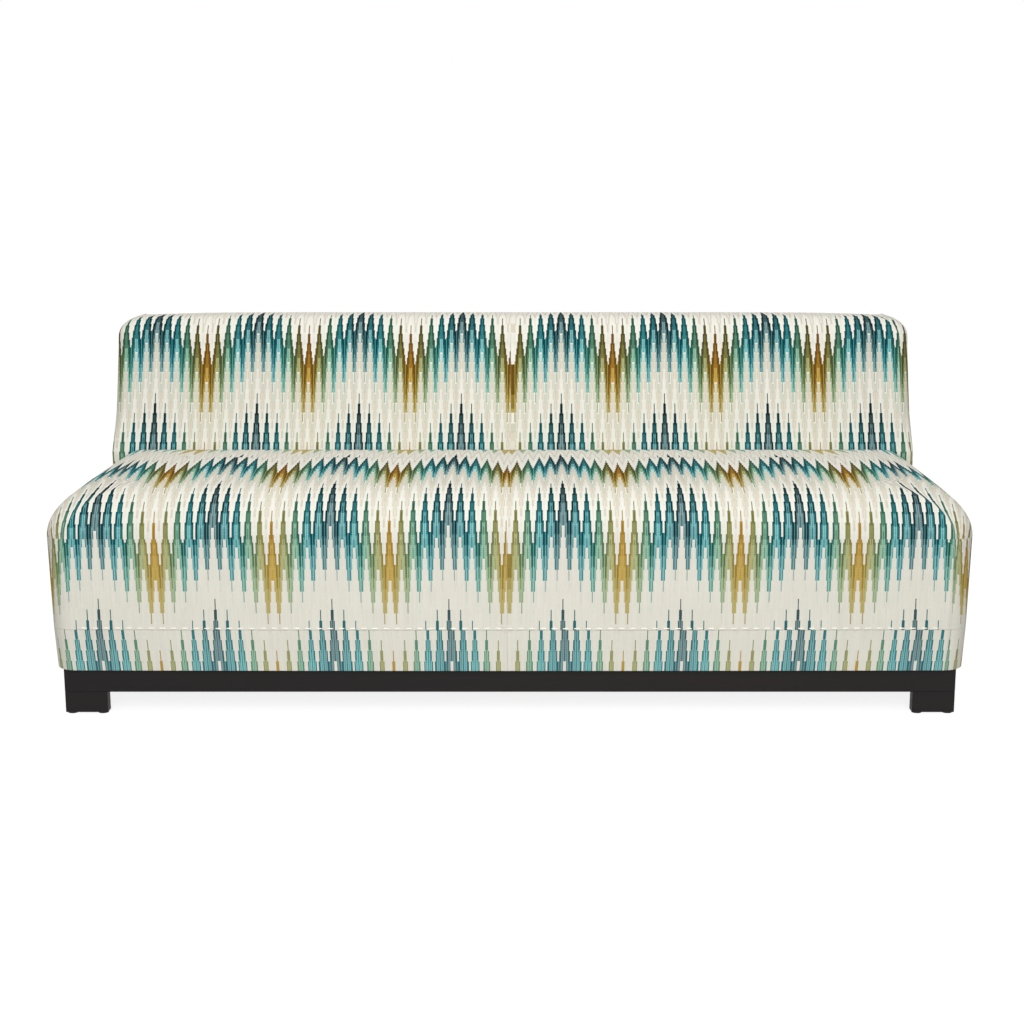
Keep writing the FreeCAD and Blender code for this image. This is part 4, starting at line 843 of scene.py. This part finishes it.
# The sag is a half sine wave across each bay, flattened out toward the front and rear edges
height = z1 - 0.0002 - SAG * np.sin(np.pi * bay) * (1 - along ** 4)
points = layers(across, (y0 + y1) / 2 + along * (y1 - y0) / 2, height)
under_mesh = cloth_mesh("dust_cover_sheet", points, points[..., :2], SEAT_PEAKS)
under = show("dust_cover_sheet", under_mesh, inner_finishes["dust_sheet"],
             ["dust_cover"])
thicken(under, 0.0006)

# ---- Studio ----
# A pale floor that shows as white, broad soft lamps above and in front, and the camera at
# the height and distance from which the sofa was photographed.
scene = bpy.context.scene
camera_data = bpy.data.cameras.new("camera")
camera_data.sensor_width, camera_data.lens = 36, 58.78
camera_data.shift_x = -0.0205
camera = bpy.data.objects.new("camera", camera_data)
camera.location = (0.050, -3.897, 1.157)
camera.rotation_euler = (math.radians(90 - 11.53), 0, 0)
scene.collection.objects.link(camera)
scene.camera = camera

floor_mesh = bpy.data.meshes.new("floor")
floor_mesh.from_pydata([(-30, -30, 0), (30, -30, 0), (30, 30, 0), (-30, 30, 0)], [],
                       [(0, 1, 2, 3)])
floor = bpy.data.objects.new("floor", floor_mesh)
scene.collection.objects.link(floor)


def seen_by(wiring):
    """1 for rays that come from the camera, also by reflection or through glass, else 0"""
    rays = wiring.node("ShaderNodeLightPath").outputs
    return wiring.math("MAXIMUM", rays["Is Camera Ray"], wiring.math(
        "MAXIMUM", rays["Is Glossy Ray"], rays["Is Transmission Ray"]))


GREY, WHITE = (0.35, 0.35, 0.35, 1), (1, 1, 1, 1)
paper, wiring, surface = new_material("pale_floor", Roughness=1.0, Specular_IOR_Level=0.0,
                                      Base_Color=GREY, Emission_Color=WHITE)
wiring.feed(surface["Emission Strength"], wiring.math("MULTIPLY", seen_by(wiring), 0.84))
floor_mesh.materials.append(paper)

world = bpy.data.worlds.new("studio")
world.use_nodes = True
scene.world = world
wiring = Wiring(world.node_tree)
background = world.node_tree.nodes["Background"].inputs
wiring.feed(background["Strength"], wiring.math(
    "ADD", 0.5, wiring.math("MULTIPLY", seen_by(wiring), 0.5)))
background["Color"].default_value = WHITE


def lamp(name, place, aim, size, power):
    """a square soft box that points at a place on the sofa"""
    data = bpy.data.lights.new(name, "AREA")
    data.shape, data.size, data.energy = "SQUARE", size, power
    light = bpy.data.objects.new(name, data)
    light.location = place
    toward = np.array(aim) - np.array(place)
    yaw = math.atan2(toward[1], toward[0]) - math.pi / 2
    tilt = math.acos(-toward[2] / np.linalg.norm(toward))
    light.rotation_euler = (tilt, 0, yaw)
    scene.collection.objects.link(light)


SOFA_MIDDLE, BOX = (0, 0, 0.4), 2.8
lamp("front_box", (0.0, -3.8, 2.0), SOFA_MIDDLE, BOX, 104)
lamp("overhead_box", (0.0, -0.6, 3.2), SOFA_MIDDLE, BOX, 25)

scene.view_settings.view_transform = "Standard"
